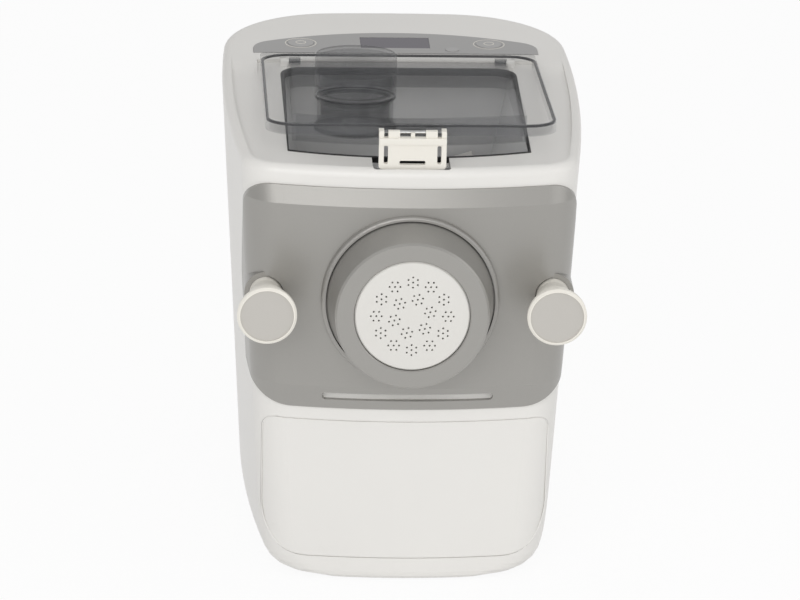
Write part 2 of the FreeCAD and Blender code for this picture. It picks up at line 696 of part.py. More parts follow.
def push_button(x, y, radius):
    top = FASCIA_SEAT + FASCIA_THICKNESS + BUTTON_PROUD
    low = FASCIA_SEAT - BUTTON_BODY
    cap = rod_z(x, y, radius, low, top)
    cap = cap.makeFillet(BUTTON_PROUD * 0.8, flat_edges(cap, top))
    flange = rod_z(x, y, radius + BUTTON_FLANGE, low, FASCIA_SEAT - SEAT)
    stem = rod_z(x, y, radius / 3, BOARD_TOP + BUTTON_TRAVEL + SEAT, low)
    return cap.fuse([flange, stem]).removeSplitter()


# Base and feet
def foot_places():
    y = BODY_DEPTH / 2 - FOOT_INSET_Y
    return [(-FOOT_X, -y), (FOOT_X, -y), (-FOOT_X, y), (FOOT_X, y)]


def base_plate():
    lid = hatch(HATCH_HALF_WIDTH - SEAT, HATCH_HALF_LENGTH - SEAT, BASE_BOTTOM, FLOOR_TOP)
    flange = hatch(HATCH_HALF_WIDTH + HATCH_FLANGE, HATCH_HALF_LENGTH + HATCH_FLANGE, FLOOR_TOP, BASE_TOP)
    return lid.fuse(flange)


def rubber_feet():
    feet = []
    for x, y in foot_places():
        foot = rod_z(x, y, FOOT_RADIUS, 0.0, BASE_BOTTOM + FOOT_SEAT_DEPTH)
        feet.append(foot.makeChamfer(FOOT_HEIGHT / 2, flat_edges(foot, 0.0)))
    return Part.makeCompound(feet)


def inner_floor():
    far = BODY_DEPTH
    high = INNER_FLOOR_Z + INNER_FLOOR_THICKNESS
    return envelope(WALL, INNER_FLOOR_Z, high).common(box(-far, far, -far, CHAMBER_REAR_Y, 0, DECK_HEIGHT))


def chamber_cradle():
    low = INNER_FLOOR_Z + INNER_FLOOR_THICKNESS
    high = SHAFT_HEIGHT - TROUGH_RADIUS / 3
    ribs = []
    for y in (CHAMBER_FRONT_Y + CRADLE_INSET, CHAMBER_REAR_Y - CRADLE_INSET - CRADLE_RIB):
        rib = box(-TROUGH_RADIUS, TROUGH_RADIUS, y, y + CRADLE_RIB, low, high)
        ribs += rib.cut(trough(TROUGH_RADIUS, CHAMBER_HALF_TOP, y - CUT, y + CRADLE_RIB + CUT)).Solids
    return Part.makeCompound(ribs)


# Mixing chamber
def trough(radius, half_top, y0, y1):
    """A half-round trough about the shaft line with sides that open out towards the deck."""
    rise = DECK_UNDERSIDE - SHAFT_HEIGHT
    span = math.hypot(half_top, rise)
    lean = math.atan2(rise, half_top) - math.acos(radius / span)
    tx = radius * math.cos(lean)
    tz = SHAFT_HEIGHT + radius * math.sin(lean)
    wire = Part.Wire([
        Part.LineSegment(V(half_top, y0, DECK_UNDERSIDE), V(-half_top, y0, DECK_UNDERSIDE)).toShape(),
        Part.LineSegment(V(-half_top, y0, DECK_UNDERSIDE), V(-tx, y0, tz)).toShape(),
        Part.Arc(V(-tx, y0, tz), V(0, y0, SHAFT_HEIGHT - radius), V(tx, y0, tz)).toShape(),
        Part.LineSegment(V(tx, y0, tz), V(half_top, y0, DECK_UNDERSIDE)).toShape(),
    ])
    return Part.Face(wire).extrude(V(0, y1 - y0, 0))


def mixing_chamber():
    y0 = CHAMBER_FRONT_Y
    y1 = CHAMBER_REAR_Y
    wall = CHAMBER_WALL
    tub = trough(TROUGH_RADIUS, CHAMBER_HALF_TOP, y0, y1)
    tub = tub.cut(trough(TROUGH_RADIUS - wall, CHAMBER_HALF_TOP - wall, y0 + wall, y1 - wall))
    tub = tub.cut(rod_y(0, SHAFT_HEIGHT, TUBE_BORE_RADIUS, y0 - CUT, y0 + wall + CUT))
    return tub.cut(rod_y(0, SHAFT_HEIGHT, BUSH_RADIUS, y1 - wall - CUT, y1 + CUT))


def shaft_bush(y0, y1):
    ring = rod_y(0, SHAFT_HEIGHT, BUSH_RADIUS, y0, y1)
    return ring.cut(rod_y(0, SHAFT_HEIGHT, SHAFT_RADIUS + RUNNING, y0 - CUT, y1 + CUT))


def extrusion_tube():
    profile = [
        (TUBE_BORE_RADIUS, CHAMBER_FRONT_Y),
        (TUBE_OUTER_RADIUS, CHAMBER_FRONT_Y),
        (TUBE_OUTER_RADIUS, TUBE_FRONT_Y + COLLAR_LENGTH),
        (COLLAR_RADIUS, TUBE_FRONT_Y + COLLAR_LENGTH),
        (COLLAR_RADIUS, TUBE_FRONT_Y),
        (TUBE_BORE_RADIUS, TUBE_FRONT_Y),
    ]
    return spun(profile, 0, SHAFT_HEIGHT)


def hole_groups():
    """Centres of the small hole groups on the disc, two rings about the shaft line."""
    rings = ((OUTER_GROUPS, OUTER_GROUP_RADIUS, 90.0), (INNER_GROUPS, INNER_GROUP_RADIUS, INNER_GROUP_START_DEG))
    places = []
    for count, radius, start in rings:
        for i in range(count):
            turn = math.radians(start + 360.0 * i / count)
            places.append((radius * math.cos(turn), SHAFT_HEIGHT + radius * math.sin(turn), turn))
    return places


def shaping_disc():
    face_y = DISC_FLANGE_Y - DISC_FACE_PROUD
    land_y = face_y + DISC_LAND
    profile = [
        (0, face_y),
        (DISC_FACE_RADIUS - DISC_EDGE, face_y),
        (DISC_FACE_RADIUS, face_y + DISC_EDGE),
        (DISC_FACE_RADIUS, DISC_FLANGE_Y),
        (DISC_RADIUS, DISC_FLANGE_Y),
        (DISC_RADIUS, TUBE_FRONT_Y),
        (0, TUBE_FRONT_Y),
    ]
    disc = spun(profile, 0, SHAFT_HEIGHT)
    tools = []
    pocket_radius = HOLE_RING_RADIUS + 2 * HOLE_RADIUS
    for x, z, turn in hole_groups():
        tools.append(rod_y(x, z, pocket_radius, land_y, TUBE_FRONT_Y + CUT))
        tools.append(rod_y(x, z, HOLE_RADIUS, face_y - CUT, land_y))
        for i in range(HOLES_IN_RING):
            around = turn + 2 * math.pi * i / HOLES_IN_RING
            hole_x = x + HOLE_RING_RADIUS * math.cos(around)
            hole_z = z + HOLE_RING_RADIUS * math.sin(around)
            tools.append(rod_y(hole_x, hole_z, HOLE_RADIUS, face_y - CUT, land_y))
    return disc.cut(tools)


def extruder_nut():
    rear_y = NUT_FACE_Y + NUT_LENGTH
    bore = COLLAR_RADIUS + SEAT
    edge = NUT_EDGE
    profile = [
        (NUT_OPENING_RADIUS, NUT_FACE_Y + edge / 2),
        (NUT_OPENING_RADIUS + edge / 2, NUT_FACE_Y),
        (NUT_FACE_RADIUS - edge, NUT_FACE_Y),
        (NUT_FACE_RADIUS, NUT_FACE_Y + edge),
        (NUT_FACE_RADIUS + edge / 2, NUT_FACE_Y + NUT_SHOULDER),
        (NUT_REAR_RADIUS, rear_y - NUT_SHOULDER / 2),
        (NUT_REAR_RADIUS, rear_y),
        (bore, rear_y),
        (bore, DISC_FLANGE_Y),
        (NUT_OPENING_RADIUS, DISC_FLANGE_Y),
    ]
    return spun(profile, 0, SHAFT_HEIGHT)


# Front panel
def corner_bevel(side, end, radius, slope):
    """What a corner of the raised pad loses: a quarter block less a cone that carries the bevel round."""
    x = PANEL_HALF_WIDTH - PAD_MARGIN - radius
    edge_z = PANEL_TOP - slope if end > 0 else PANEL_BOTTOM + slope
    z = edge_z - end * radius
    face_y = front_surface_y(x) - PANEL_EDGE - PANEL_PUSH
    widening = slope / PANEL_PUSH
    ahead = radius / (2 * widening)
    behind = PANEL_WRAP / 2
    start = face_y - ahead
    cone = Part.makeCone(radius / 2, radius + widening * behind, ahead + behind, V(side * x, start, z), V(0, 1, 0))
    far = radius + slope + PANEL_EDGE + 2 * CUT
    z0, z1 = sorted((z, z + end * far))
    return mirrored_box(side, x, x + far, start, start + ahead + behind, z0, z1).cut(cone)


def grip(grow, y0, y1):
    """The finger recess in the panel's lower bevel."""
    low = PANEL_BOTTOM + GRIP_RISE
    half = GRIP_HALF_WIDTH + grow
    radius = GRIP_HEIGHT / 2 - SEAT
    return front_slab(-half, half, low - grow, low + GRIP_HEIGHT + grow, radius, radius, y0, y1)


def front_panel():
    levels = [
        (PANEL_BOTTOM, 0.0),
        (PANEL_BOTTOM + PANEL_LOW_SLOPE, PANEL_PUSH),
        (PANEL_TOP - PANEL_TOP_SLOPE, PANEL_PUSH),
        (PANEL_TOP, 0.0),
    ]
    block = Part.makeLoft([straight_section(z, -PANEL_EDGE, push) for z, push in levels], True, True)
    half = PANEL_HALF_WIDTH
    wrap_y = FRONT_Y + PANEL_WRAP
    start_y = FRONT_Y - 2 * KNOB_BODY_LENGTH
    radii = (PANEL_LOW_RADIUS, PANEL_TOP_RADIUS)
    panel = block.common(front_slab(-half, half, PANEL_BOTTOM, PANEL_TOP, *radii, start_y, wrap_y))
    for side in (-1, 1):
        panel = panel.cut(corner_bevel(side, 1, PAD_TOP_RADIUS, PANEL_TOP_SLOPE))
        panel = panel.cut(corner_bevel(side, -1, PAD_LOW_RADIUS, PANEL_LOW_SLOPE))
    boss = rod_y(0, SHAFT_HEIGHT, BOSS_BORE_RADIUS + BOSS_WALL, BOSS_Y, FRONT_Y + BOSS_WALL)
    boss = boss.makeFillet(BOSS_EDGE, [e for e in boss.Edges if e.BoundBox.YMax < BOSS_Y + SEAT])
    panel = panel.fuse(boss)
    knob_y = knob_seat_y()
    for side in (-1, 1):
        x = side * KNOB_X
        panel = panel.fuse(rod_y(x, SHAFT_HEIGHT, KNOB_BASE_RADIUS + KNOB_COLLAR, knob_y, wrap_y))
    housing = envelope(0.0, PANEL_BOTTOM - CUT, PANEL_TOP + CUT)
    panel = panel.cut(housing)
    panel = max(panel.Solids, key=lambda s: s.Volume)
    for side in (-1, 1):
        x = side * KNOB_X
        panel = panel.cut(rod_y(x, SHAFT_HEIGHT, KNOB_BASE_RADIUS + CUT, start_y, knob_y))
        panel = panel.cut(rod_y(x, SHAFT_HEIGHT, STUD_RADIUS + SEAT, start_y, wrap_y))
    panel = panel.cut(rod_y(0, SHAFT_HEIGHT, BOSS_BORE_RADIUS, BOSS_Y - CUT, NUT_FACE_Y + NUT_LENGTH + CUT))
    panel = panel.cut(rod_y(0, SHAFT_HEIGHT, COLLAR_RADIUS + 2 * CUT, BOSS_Y - CUT, FRONT_Y + BOSS_WALL))
    panel = panel.cut(grip(0.0, start_y, wrap_y))
    return max(panel.Solids, key=lambda s: s.Volume)


def knob_seat_y():
    """The floor of the round seat that each knob's base stands in."""
    return front_surface_y(KNOB_X - KNOB_BASE_RADIUS - CUT) - KNOB_SEAT_DEPTH


# Fixing knobs
def knob(side):
    seat = knob_seat_y()
    face = KNOB_FACE_Y
    edge = KNOB_DISC_EDGE
    inner = KNOB_DISC_RADIUS - KNOB_RIM
    profile = [
        (0, face + KNOB_INSET + KNOB_CAP_THICKNESS),
        (inner, face + KNOB_INSET + KNOB_CAP_THICKNESS),
        (inner, face),
        (KNOB_DISC_RADIUS - edge, face),
        (KNOB_DISC_RADIUS, face + edge),
        (KNOB_DISC_RADIUS, face + KNOB_DISC_THICKNESS - edge),
        (KNOB_DISC_RADIUS - edge, face + KNOB_DISC_THICKNESS),
        (KNOB_BODY_RADIUS, face + KNOB_DISC_THICKNESS + edge),
        (KNOB_BODY_RADIUS, face + KNOB_BODY_LENGTH),
        (KNOB_BASE_RADIUS, seat - KNOB_BASE_LENGTH),
        (KNOB_BASE_RADIUS, seat - SEAT),
        (STUD_RADIUS, seat - SEAT),
        (STUD_RADIUS, seat - STUD_IN_KNOB),
        (0, seat - STUD_IN_KNOB),
    ]
    return spun(profile, side * KNOB_X, SHAFT_HEIGHT)


def knob_cap(side):
    low = KNOB_FACE_Y + KNOB_INSET
    return rod_y(side * KNOB_X, SHAFT_HEIGHT, KNOB_DISC_RADIUS - KNOB_RIM, low, low + KNOB_CAP_THICKNESS)


def knob_stud(side):
    start = knob_seat_y() - STUD_IN_KNOB
    return rod_y(side * KNOB_X, SHAFT_HEIGHT, STUD_RADIUS, start, start + STUD_IN_KNOB + STUD_LENGTH)


def knob_inserts():
    pieces = []
    for side in (-1, 1):
        x = side * KNOB_X
        low = front_surface_y(KNOB_X)
        insert = rod_y(x, SHAFT_HEIGHT, INSERT_RADIUS, low, low + 3 * WALL + INSERT_LENGTH)
        insert = insert.common(envelope(WALL, SHAFT_HEIGHT - KNOB_DISC_RADIUS, SHAFT_HEIGHT + KNOB_DISC_RADIUS))
        bore = rod_y(x, SHAFT_HEIGHT, STUD_RADIUS + RUNNING, low - CUT, low + 3 * INSERT_LENGTH)
        pieces.append(insert.cut(bore).Solids[0])
    return Part.makeCompound(pieces)


# Lid, built shut and then raised to the ajar rest position
def raised(shape):
    turned = shape.copy()
    turned.rotate(V(0, HINGE_Y, HINGE_Z), V(-1, 0, 0), LID_AJAR_DEG)
    return turned


def lid_skirt(half, grow, z0, z1):
    """A block with the outline of the inner skirt, its front bowed like the opening that it enters."""
    front = OPENING_FRONT_Y + SKIRT_FRONT_GAP
    rear = OPENING_REAR_Y - SKIRT_FRONT_GAP
    radius = SKIRT_RADIUS + grow
    block = plan_slab(half + grow, front - grow, rear + grow, radius, radius, z0, z1)
    return block.common(rod_z(0, front + OPENING_BOW_RADIUS, OPENING_BOW_RADIUS + grow, z0, z1))


def lid_panel():
    half = LID_HALF_WIDTH
    wall = LID_WALL
    tray = plan_slab(half, LID_FRONT_Y, LID_REAR_Y, LID_FRONT_RADIUS, LID_REAR_RADIUS, LID_BOTTOM, LID_TOP)
    tray = tray.makeFillet(LID_EDGE, flat_edges(tray, LID_TOP))
    radii = (LID_FRONT_RADIUS - wall, LID_REAR_RADIUS - wall)
    hollow = plan_slab(half - wall, LID_FRONT_Y + wall, LID_REAR_Y - wall, *radii, LID_BOTTOM - CUT, LID_CEILING)
    rear = box(-half - CUT, half + CUT, HINGE_Y - HINGE_SWEEP, LID_REAR_Y + CUT, LID_BOTTOM - CUT, LID_CEILING)
    lid = tray.cut(hollow).cut(rear)
    skirt_half = OPENING_HALF - SKIRT_GAP
    skirt = lid_skirt(skirt_half, 0.0, LID_BOTTOM - SKIRT_DEPTH, LID_CEILING + CUT)
    lid = lid.fuse(skirt.cut(lid_skirt(skirt_half, -SKIRT_WALL, LID_BOTTOM - SKIRT_DEPTH - CUT, LID_CEILING)))
    lug_inner, knuckle_inner, knuckle_outer = hinge_x()
    radius = HINGE_KNUCKLE_RADIUS
    for side in (-1, 1):
        knuckle = mirrored_rod(side, HINGE_Y, HINGE_Z, radius, knuckle_inner, knuckle_outer)
        ends = (HINGE_Y - radius, HINGE_Y + radius, HINGE_Z, LID_CEILING + CUT)
        knuckle = knuckle.fuse(mirrored_box(side, knuckle_inner, knuckle_outer, *ends))
        pin = mirrored_rod(side, HINGE_Y, HINGE_Z, HINGE_PIN_RADIUS + RUNNING, knuckle_inner - CUT, knuckle_outer + CUT)
        lid = lid.fuse(knuckle.cut(pin))
        lug = latch_lug(side)
        lid = lid.fuse(lug)
    lid = lid.cut(rod_z(TOWER_X, TOWER_Y, TOWER_TUBE_RADIUS, LID_BOTTOM - CUT, LID_TOP + CUT))
    lid = lid.cut(rod_x(LATCH_PIN_Y, LATCH_PIN_Z, LATCH_PIN_RADIUS, -LATCH_WIDTH, LATCH_WIDTH))
    return raised(lid.removeSplitter())


def latch_lug(side):
    """One of the two lugs on the lid's front that hold the latch pin."""
    inner = LATCH_WIDTH / 2 - 4 * LATCH_ARM
    outer = LATCH_WIDTH / 2 - LATCH_ARM - SEAT
    radius = LATCH_PIN_RING
    ring = mirrored_rod(side, LATCH_PIN_Y, LATCH_PIN_Z, radius, inner, outer)
    web = (LATCH_PIN_Y, LID_FRONT_Y + CUT, LATCH_PIN_Z - radius, LATCH_PIN_Z + radius)
    return ring.fuse(mirrored_box(side, inner, outer, *web))


def water_inlet():
    tower = (TOWER_X, TOWER_Y)
    cup = rod_z(*tower, TOWER_RADIUS, LID_TOP, LID_TOP + TOWER_CUP_HEIGHT)
    hood = rod_z(*tower, TOWER_RADIUS, LID_TOP, LID_TOP + TOWER_HEIGHT)
    hood = hood.makeFillet(TOWER_ROOF_EDGE, flat_edges(hood, LID_TOP + TOWER_HEIGHT))
    reach = 2 * TOWER_RADIUS
    front_half = (TOWER_X - reach, TOWER_X + reach, TOWER_Y - reach, TOWER_Y, LID_TOP, LID_TOP + reach)
    hood = hood.cut(box(*front_half))
    form = cup.fuse(hood)
    inner = TOWER_RADIUS - TOWER_WALL
    form = form.cut(rod_z(*tower, inner, LID_TOP + TOWER_FLOOR, LID_TOP + TOWER_HEIGHT - TOWER_WALL))
    tube_low = LID_TOP - TOWER_TUBE_DROP
    tube = rod_z(*tower, TOWER_TUBE_RADIUS, tube_low, LID_TOP + CUT)
    tube = tube.cut(rod_z(*tower, TOWER_TUBE_RADIUS - TOWER_WALL, tube_low - CUT, LID_TOP))
    form = form.fuse(tube)
    form = form.cut(rod_z(*tower, TOWER_MOUTH_RADIUS, LID_TOP - CUT, LID_TOP + TOWER_FLOOR + CUT))
    return raised(form.removeSplitter())


def inlet_seal():
    low = LID_TOP - TOWER_TUBE_DROP + SEAL_HEIGHT / 2
    ring = rod_z(TOWER_X, TOWER_Y, TOWER_TUBE_RADIUS + SEAL_WIDTH, low, low + SEAL_HEIGHT)
    return raised(ring.cut(rod_z(TOWER_X, TOWER_Y, TOWER_TUBE_RADIUS, low - CUT, low + SEAL_HEIGHT + CUT)))


def lid_hinge_pins():
    lug_inner, knuckle_inner, knuckle_outer = hinge_x()
    pins = [mirrored_rod(side, HINGE_Y, HINGE_Z, HINGE_PIN_RADIUS, knuckle_inner, HINGE_X) for side in (-1, 1)]
    return Part.makeCompound(pins)


def hanging(shape):
    """Raised with the lid, then turned back about the latch pin, so that the latch hangs upright."""
    turned = raised(shape)
    pin = raised(Part.Vertex(0, LATCH_PIN_Y, LATCH_PIN_Z)).Point
    turned.rotate(pin, V(-1, 0, 0), -LID_AJAR_DEG)
    return turned


def lid_latch():
    half = LATCH_WIDTH / 2
    face_y = LATCH_PIN_Y - LATCH_PIN_REACH - LATCH_THICKNESS
    rear_y = face_y + LATCH_THICKNESS
    top = LID_TOP - LATCH_TOP_DROP
    low = top - LATCH_HEIGHT
    radius = LATCH_CORNER_RADIUS
    plate = front_slab(-half, half, low, top, radius, radius / 2, face_y, rear_y)
    slot_top = top - LATCH_BAR_DROP - LATCH_BAR_HEIGHT - CUT
    slot_radius = LATCH_SLOT / 2 - SEAT
    for side in (-1, 1):
        outer = half - LATCH_ARM
        x0, x1 = sorted((side * outer, side * (outer - LATCH_SLOT)))
        ends = (slot_top - LATCH_SLOT_LENGTH, slot_top, slot_radius, slot_radius)
        plate = plate.cut(front_slab(x0, x1, *ends, face_y - CUT, rear_y + CUT))
        notch = (face_y - CUT, rear_y + CUT, top - LATCH_BAR_DROP, top + CUT)
        plate = plate.cut(mirrored_box(side, outer, outer - LATCH_SLOT, *notch))
        ear = (rear_y - CUT, LATCH_PIN_Y, LATCH_PIN_Z - LATCH_PIN_RING, LATCH_PIN_Z + LATCH_PIN_RING)
        plate = plate.fuse(mirrored_box(side, half, outer, *ear))
        plate = plate.fuse(mirrored_rod(side, LATCH_PIN_Y, LATCH_PIN_Z, LATCH_PIN_RING, half, outer))
    middle = (face_y - CUT, rear_y + CUT, top - LATCH_BAR_DROP, top + CUT)
    plate = plate.cut(box(-LATCH_WINDOW_HALF, LATCH_WINDOW_HALF, *middle))
    nub = (face_y + CUT, rear_y, top - LATCH_BAR_DROP - CUT, top - LATCH_BAR_DROP / 3)
    plate = plate.fuse(box(-LATCH_SLOT / 2, LATCH_SLOT / 2, *nub))
    window_low = low + LATCH_WINDOW_RISE
    window = (window_low, window_low + LATCH_WINDOW_HEIGHT, slot_radius, slot_radius)
    plate = plate.cut(front_slab(-LATCH_WINDOW_HALF, LATCH_WINDOW_HALF, *window, face_y - CUT, rear_y + CUT))
    bar_low = top - LATCH_BAR_DROP - LATCH_BAR_HEIGHT
    bar = (bar_low, top - LATCH_BAR_DROP, slot_radius, slot_radius)
    plate = plate.fuse(front_slab(-half, half, *bar, face_y - LATCH_BAR_PROUD, face_y + CUT))
    plate = plate.cut(rod_x(LATCH_PIN_Y, LATCH_PIN_Z, LATCH_PIN_RADIUS + RUNNING, -half - CUT, half + CUT))
    return hanging(plate.removeSplitter())


def latch_pin():
    half = LATCH_WIDTH / 2
    return raised(rod_x(LATCH_PIN_Y, LATCH_PIN_Z, LATCH_PIN_RADIUS, -half, half))


def latch_strike():
    """A catch inside the front wall, under the latch pocket."""
    half = STRIKE_HALF_WIDTH
    high = LID_TOP - LATCH_TOP_DROP - LATCH_HEIGHT - 2 * CUT
    block = box(-half, half, FRONT_Y, FRONT_Y + WALL + STRIKE_DEPTH, high - STRIKE_HEIGHT, high)
    return block.common(envelope(WALL, high - 2 * STRIKE_HEIGHT, high + CUT))


def lid_switch():
    x = OPENING_HALF + SWITCH_WIDTH
    y = CHAMBER_FRONT_Y + CHAMBER_LENGTH / 2 - SWITCH_LENGTH
    return box(x, x + SWITCH_WIDTH, y, y + SWITCH_LENGTH, DECK_UNDERSIDE - SWITCH_HEIGHT, DECK_UNDERSIDE)


# Drawer
def drawer_front():
    low = DRAWER_BOTTOM - CUT
    high = DRAWER_TOP + CUT
    skin = envelope(0.0, low, high).cut(envelope(DRAWER_SKIN, low - CUT, high + CUT))
    front = skin.common(drawer_opening(0.0, FRONT_Y - CUT, FRONT_Y + PANEL_WRAP))
    return max(front.Solids, key=lambda s: s.Volume)


def drawer_tray():
    low = DRAWER_BOTTOM + TRAY_RISE
    high = DRAWER_TOP - TRAY_HEADROOM
    half = DRAWER_HALF_WIDTH - TRAY_SIDE_MARGIN
    rear = TRAY_FRONT_Y + TRAY_LENGTH
    wall = TRAY_WALL
    radius = TRAY_CORNER_RADIUS
    tray = plan_slab(half, FRONT_Y, rear, wall, radius, low, high)
    corner = radius - wall
    inside = plan_slab(half - wall, TRAY_FRONT_Y + wall, rear - wall, corner, corner, low + wall, high + CUT)
    return tray.cut(inside).common(envelope(DRAWER_SKIN, low - CUT, high + CUT))


# Drive
def involute_gear(teeth, module, width, x, z, y, mesh_deg, gap_at_mesh):
    """A spur gear on an axis along Y whose tooth, or gap, points along mesh_deg in the XZ plane."""
    pressure = math.radians(PRESSURE_ANGLE_DEG)
    pitch = module * teeth / 2
    base = pitch * math.cos(pressure)
    tip = pitch + module
    root = pitch - GEAR_ROOT * module
    half_tooth = math.pi / (2 * teeth) - GEAR_BACKLASH / pitch
    at_pitch = math.tan(pressure) - pressure

    def flank(radius):
        angle = math.acos(min(1.0, base / radius))
        return half_tooth + at_pitch - (math.tan(angle) - angle)

    start = max(base, root)
    radii = [start, (start + pitch) / 2, pitch, tip]
    step = 2 * math.pi / teeth
    turn = math.radians(mesh_deg) + (step / 2 if gap_at_mesh else 0.0)
    points = []
    for i in range(teeth):
        centre = turn + i * step
        points.append((root, centre - flank(start)))
        points += [(r, centre - flank(r)) for r in radii]
        points += [(r, centre + flank(r)) for r in reversed(radii)]
        points.append((root, centre + flank(start)))
    corners = []
    for r, a in points:
        corner = V(x + r * math.cos(a), y, z + r * math.sin(a))
        if not corners or corner.distanceToPoint(corners[-1]) > 0.01:
            corners.append(corner)
    return Part.Face(Part.makePolygon(corners + corners[:1])).extrude(V(0, width, 0))


def direction_deg(x0, z0, x1, z1):
    return math.degrees(math.atan2(z1 - z0, x1 - x0))


def motor_pinion():
    aim = direction_deg(0, MOTOR_Z, IDLER_X, IDLER_Z)
    gear = involute_gear(PINION_TEETH, FIRST_MODULE, FIRST_GEAR_WIDTH, 0, MOTOR_Z, FIRST_GEAR_Y, aim, False)
    return gear.cut(rod_y(0, MOTOR_Z, MOTOR_SHAFT_RADIUS, FIRST_GEAR_Y - CUT, SECOND_GEAR_Y))


def reduction_gear():
    back = direction_deg(IDLER_X, IDLER_Z, 0, MOTOR_Z)
    ahead = direction_deg(IDLER_X, IDLER_Z, 0, SHAFT_HEIGHT)
    axis = (IDLER_X, IDLER_Z)
    large = involute_gear(IDLER_LARGE_TEETH, FIRST_MODULE, FIRST_GEAR_WIDTH, *axis, FIRST_GEAR_Y, back, True)
    small = involute_gear(IDLER_SMALL_TEETH, SECOND_MODULE, SECOND_GEAR_WIDTH, *axis, SECOND_GEAR_Y, ahead, False)
    neck = rod_y(*axis, IDLER_PIN_RADIUS + IDLER_NECK_WALL, FIRST_GEAR_Y + CUT, SECOND_GEAR_Y + CUT)
    gear = large.fuse([small, neck])
    return gear.cut(rod_y(*axis, IDLER_PIN_RADIUS + RUNNING, FIRST_GEAR_Y - CUT, REAR_PLATE_Y))


def final_gear():
    back = direction_deg(0, SHAFT_HEIGHT, IDLER_X, IDLER_Z)
    gear = involute_gear(FINAL_TEETH, SECOND_MODULE, SECOND_GEAR_WIDTH, 0, SHAFT_HEIGHT, SECOND_GEAR_Y, back, True)
    for i in range(FINAL_HOLES):
        turn = 2 * math.pi * i / FINAL_HOLES
        x = FINAL_HOLE_RING * math.cos(turn)
        z = SHAFT_HEIGHT + FINAL_HOLE_RING * math.sin(turn)
        gear = gear.cut(rod_y(x, z, FINAL_HOLE_RADIUS, SECOND_GEAR_Y - CUT, REAR_PLATE_Y))
    return gear.cut(rod_y(0, SHAFT_HEIGHT, SHAFT_RADIUS, SECOND_GEAR_Y - CUT, REAR_PLATE_Y))


def drive_shaft():
    return rod_y(0, SHAFT_HEIGHT, SHAFT_RADIUS, TUBE_FRONT_Y + PLATE_THICKNESS, MOTOR_Y + 2 * CUT)


def mixing_paddle():
    y0 = CHAMBER_FRONT_Y + CHAMBER_WALL + PADDLE_GAP
    y1 = CHAMBER_REAR_Y - CHAMBER_WALL - PADDLE_GAP
    hub = rod_y(0, SHAFT_HEIGHT, HUB_RADIUS, y0, y1)
    pitch = (y1 - y0 - 2 * PADDLE_BAR) / (PADDLE_BARS - 1)
    half = PADDLE_BAR / 2
    for i in range(PADDLE_BARS):
        y = y0 + half + i * pitch
        tilt = PADDLE_TILT_DEG * (1 if i % 2 else -1)
        bar = box(-PADDLE_REACH, PADDLE_REACH, y, y + PADDLE_BAR, SHAFT_HEIGHT - half, SHAFT_HEIGHT + half)
        bar.rotate(V(0, 0, SHAFT_HEIGHT), V(0, 1, 0), tilt)
        hub = hub.fuse(bar)
    return hub.cut(rod_y(0, SHAFT_HEIGHT, SHAFT_RADIUS, y0 - CUT, y1 + CUT))


def auger():
    rear = CHAMBER_FRONT_Y + CHAMBER_WALL + PADDLE_GAP / 3
    front = TUBE_FRONT_Y + PLATE_THICKNESS
    length = rear - front
    radius = TUBE_BORE_RADIUS - AUGER_CLEARANCE
    root = HUB_RADIUS - CUT
    core = rod_y(0, 0, HUB_RADIUS, 0, length)
    helix = Part.makeHelix(AUGER_PITCH, length - AUGER_THREAD, root)
    chamfer = AUGER_TIP_CHAMFER
    blade = Part.Wire(Part.makePolygon([
        V(root, 0, 0), V(radius, 0, chamfer), V(radius, 0, AUGER_THREAD - chamfer),
        V(root, 0, AUGER_THREAD), V(root, 0, 0),
    ]))
    thread = Part.Wire(helix).makePipeShell([blade], True, True)
    thread.rotate(V(0, 0, 0), V(1, 0, 0), -90)
    screw = core.fuse(thread)
    screw.translate(V(0, front, SHAFT_HEIGHT))
    return screw.cut(rod_y(0, SHAFT_HEIGHT, SHAFT_RADIUS, front - CUT, rear + CUT))


def gear_plate(y):
    half = PLATE_HALF_WIDTH
    rear = y + PLATE_THICKNESS
    plate = front_slab(-half, half, BASE_TOP, PLATE_TOP, PLATE_LOW_RADIUS, PLATE_TOP_RADIUS, y, rear)
    plate = plate.cut(rod_y(0, SHAFT_HEIGHT, BUSH_RADIUS, y - CUT, rear + CUT))
    plate = plate.cut(rod_y(IDLER_X, IDLER_Z, IDLER_PIN_RADIUS, y - CUT, rear + CUT))
    return plate.cut(rod_y(0, MOTOR_Z, MOTOR_SHAFT_RADIUS + PLATE_THICKNESS, y - CUT, rear + CUT))


def gear_spacers():
    posts = []
    x = PLATE_HALF_WIDTH - SPACER_INSET
    for side in (-1, 1):
        for z in (BASE_TOP + SPACER_RISE, PLATE_TOP - SPACER_RISE):
            posts.append(rod_y(side * x, z, SPACER_RADIUS, FRONT_PLATE_Y + PLATE_THICKNESS, REAR_PLATE_Y))
    return Part.makeCompound(posts)


def idler_pin():
    return rod_y(IDLER_X, IDLER_Z, IDLER_PIN_RADIUS, FRONT_PLATE_Y, MOTOR_Y)


def motor_shaft():
    return rod_y(0, MOTOR_Z, MOTOR_SHAFT_RADIUS, FIRST_GEAR_Y, MOTOR_Y + MOTOR_LENGTH + FAN_GAP + FAN_WIDTH)


def motor_body():
    rear = MOTOR_Y + MOTOR_LENGTH
    body = rod_y(0, MOTOR_Z, MOTOR_RADIUS, MOTOR_Y, rear)
    reach = 2 * MOTOR_RADIUS
    for side in (-1, 1):
        ends = (MOTOR_Y + MOTOR_CAP, rear - MOTOR_CAP, MOTOR_Z - reach, MOTOR_Z + reach)
        body = body.cut(mirrored_box(side, MOTOR_RADIUS - MOTOR_FLAT, reach, *ends))
    return body.cut(rod_y(0, MOTOR_Z, MOTOR_SHAFT_RADIUS + RUNNING, MOTOR_Y - CUT, rear + CUT))


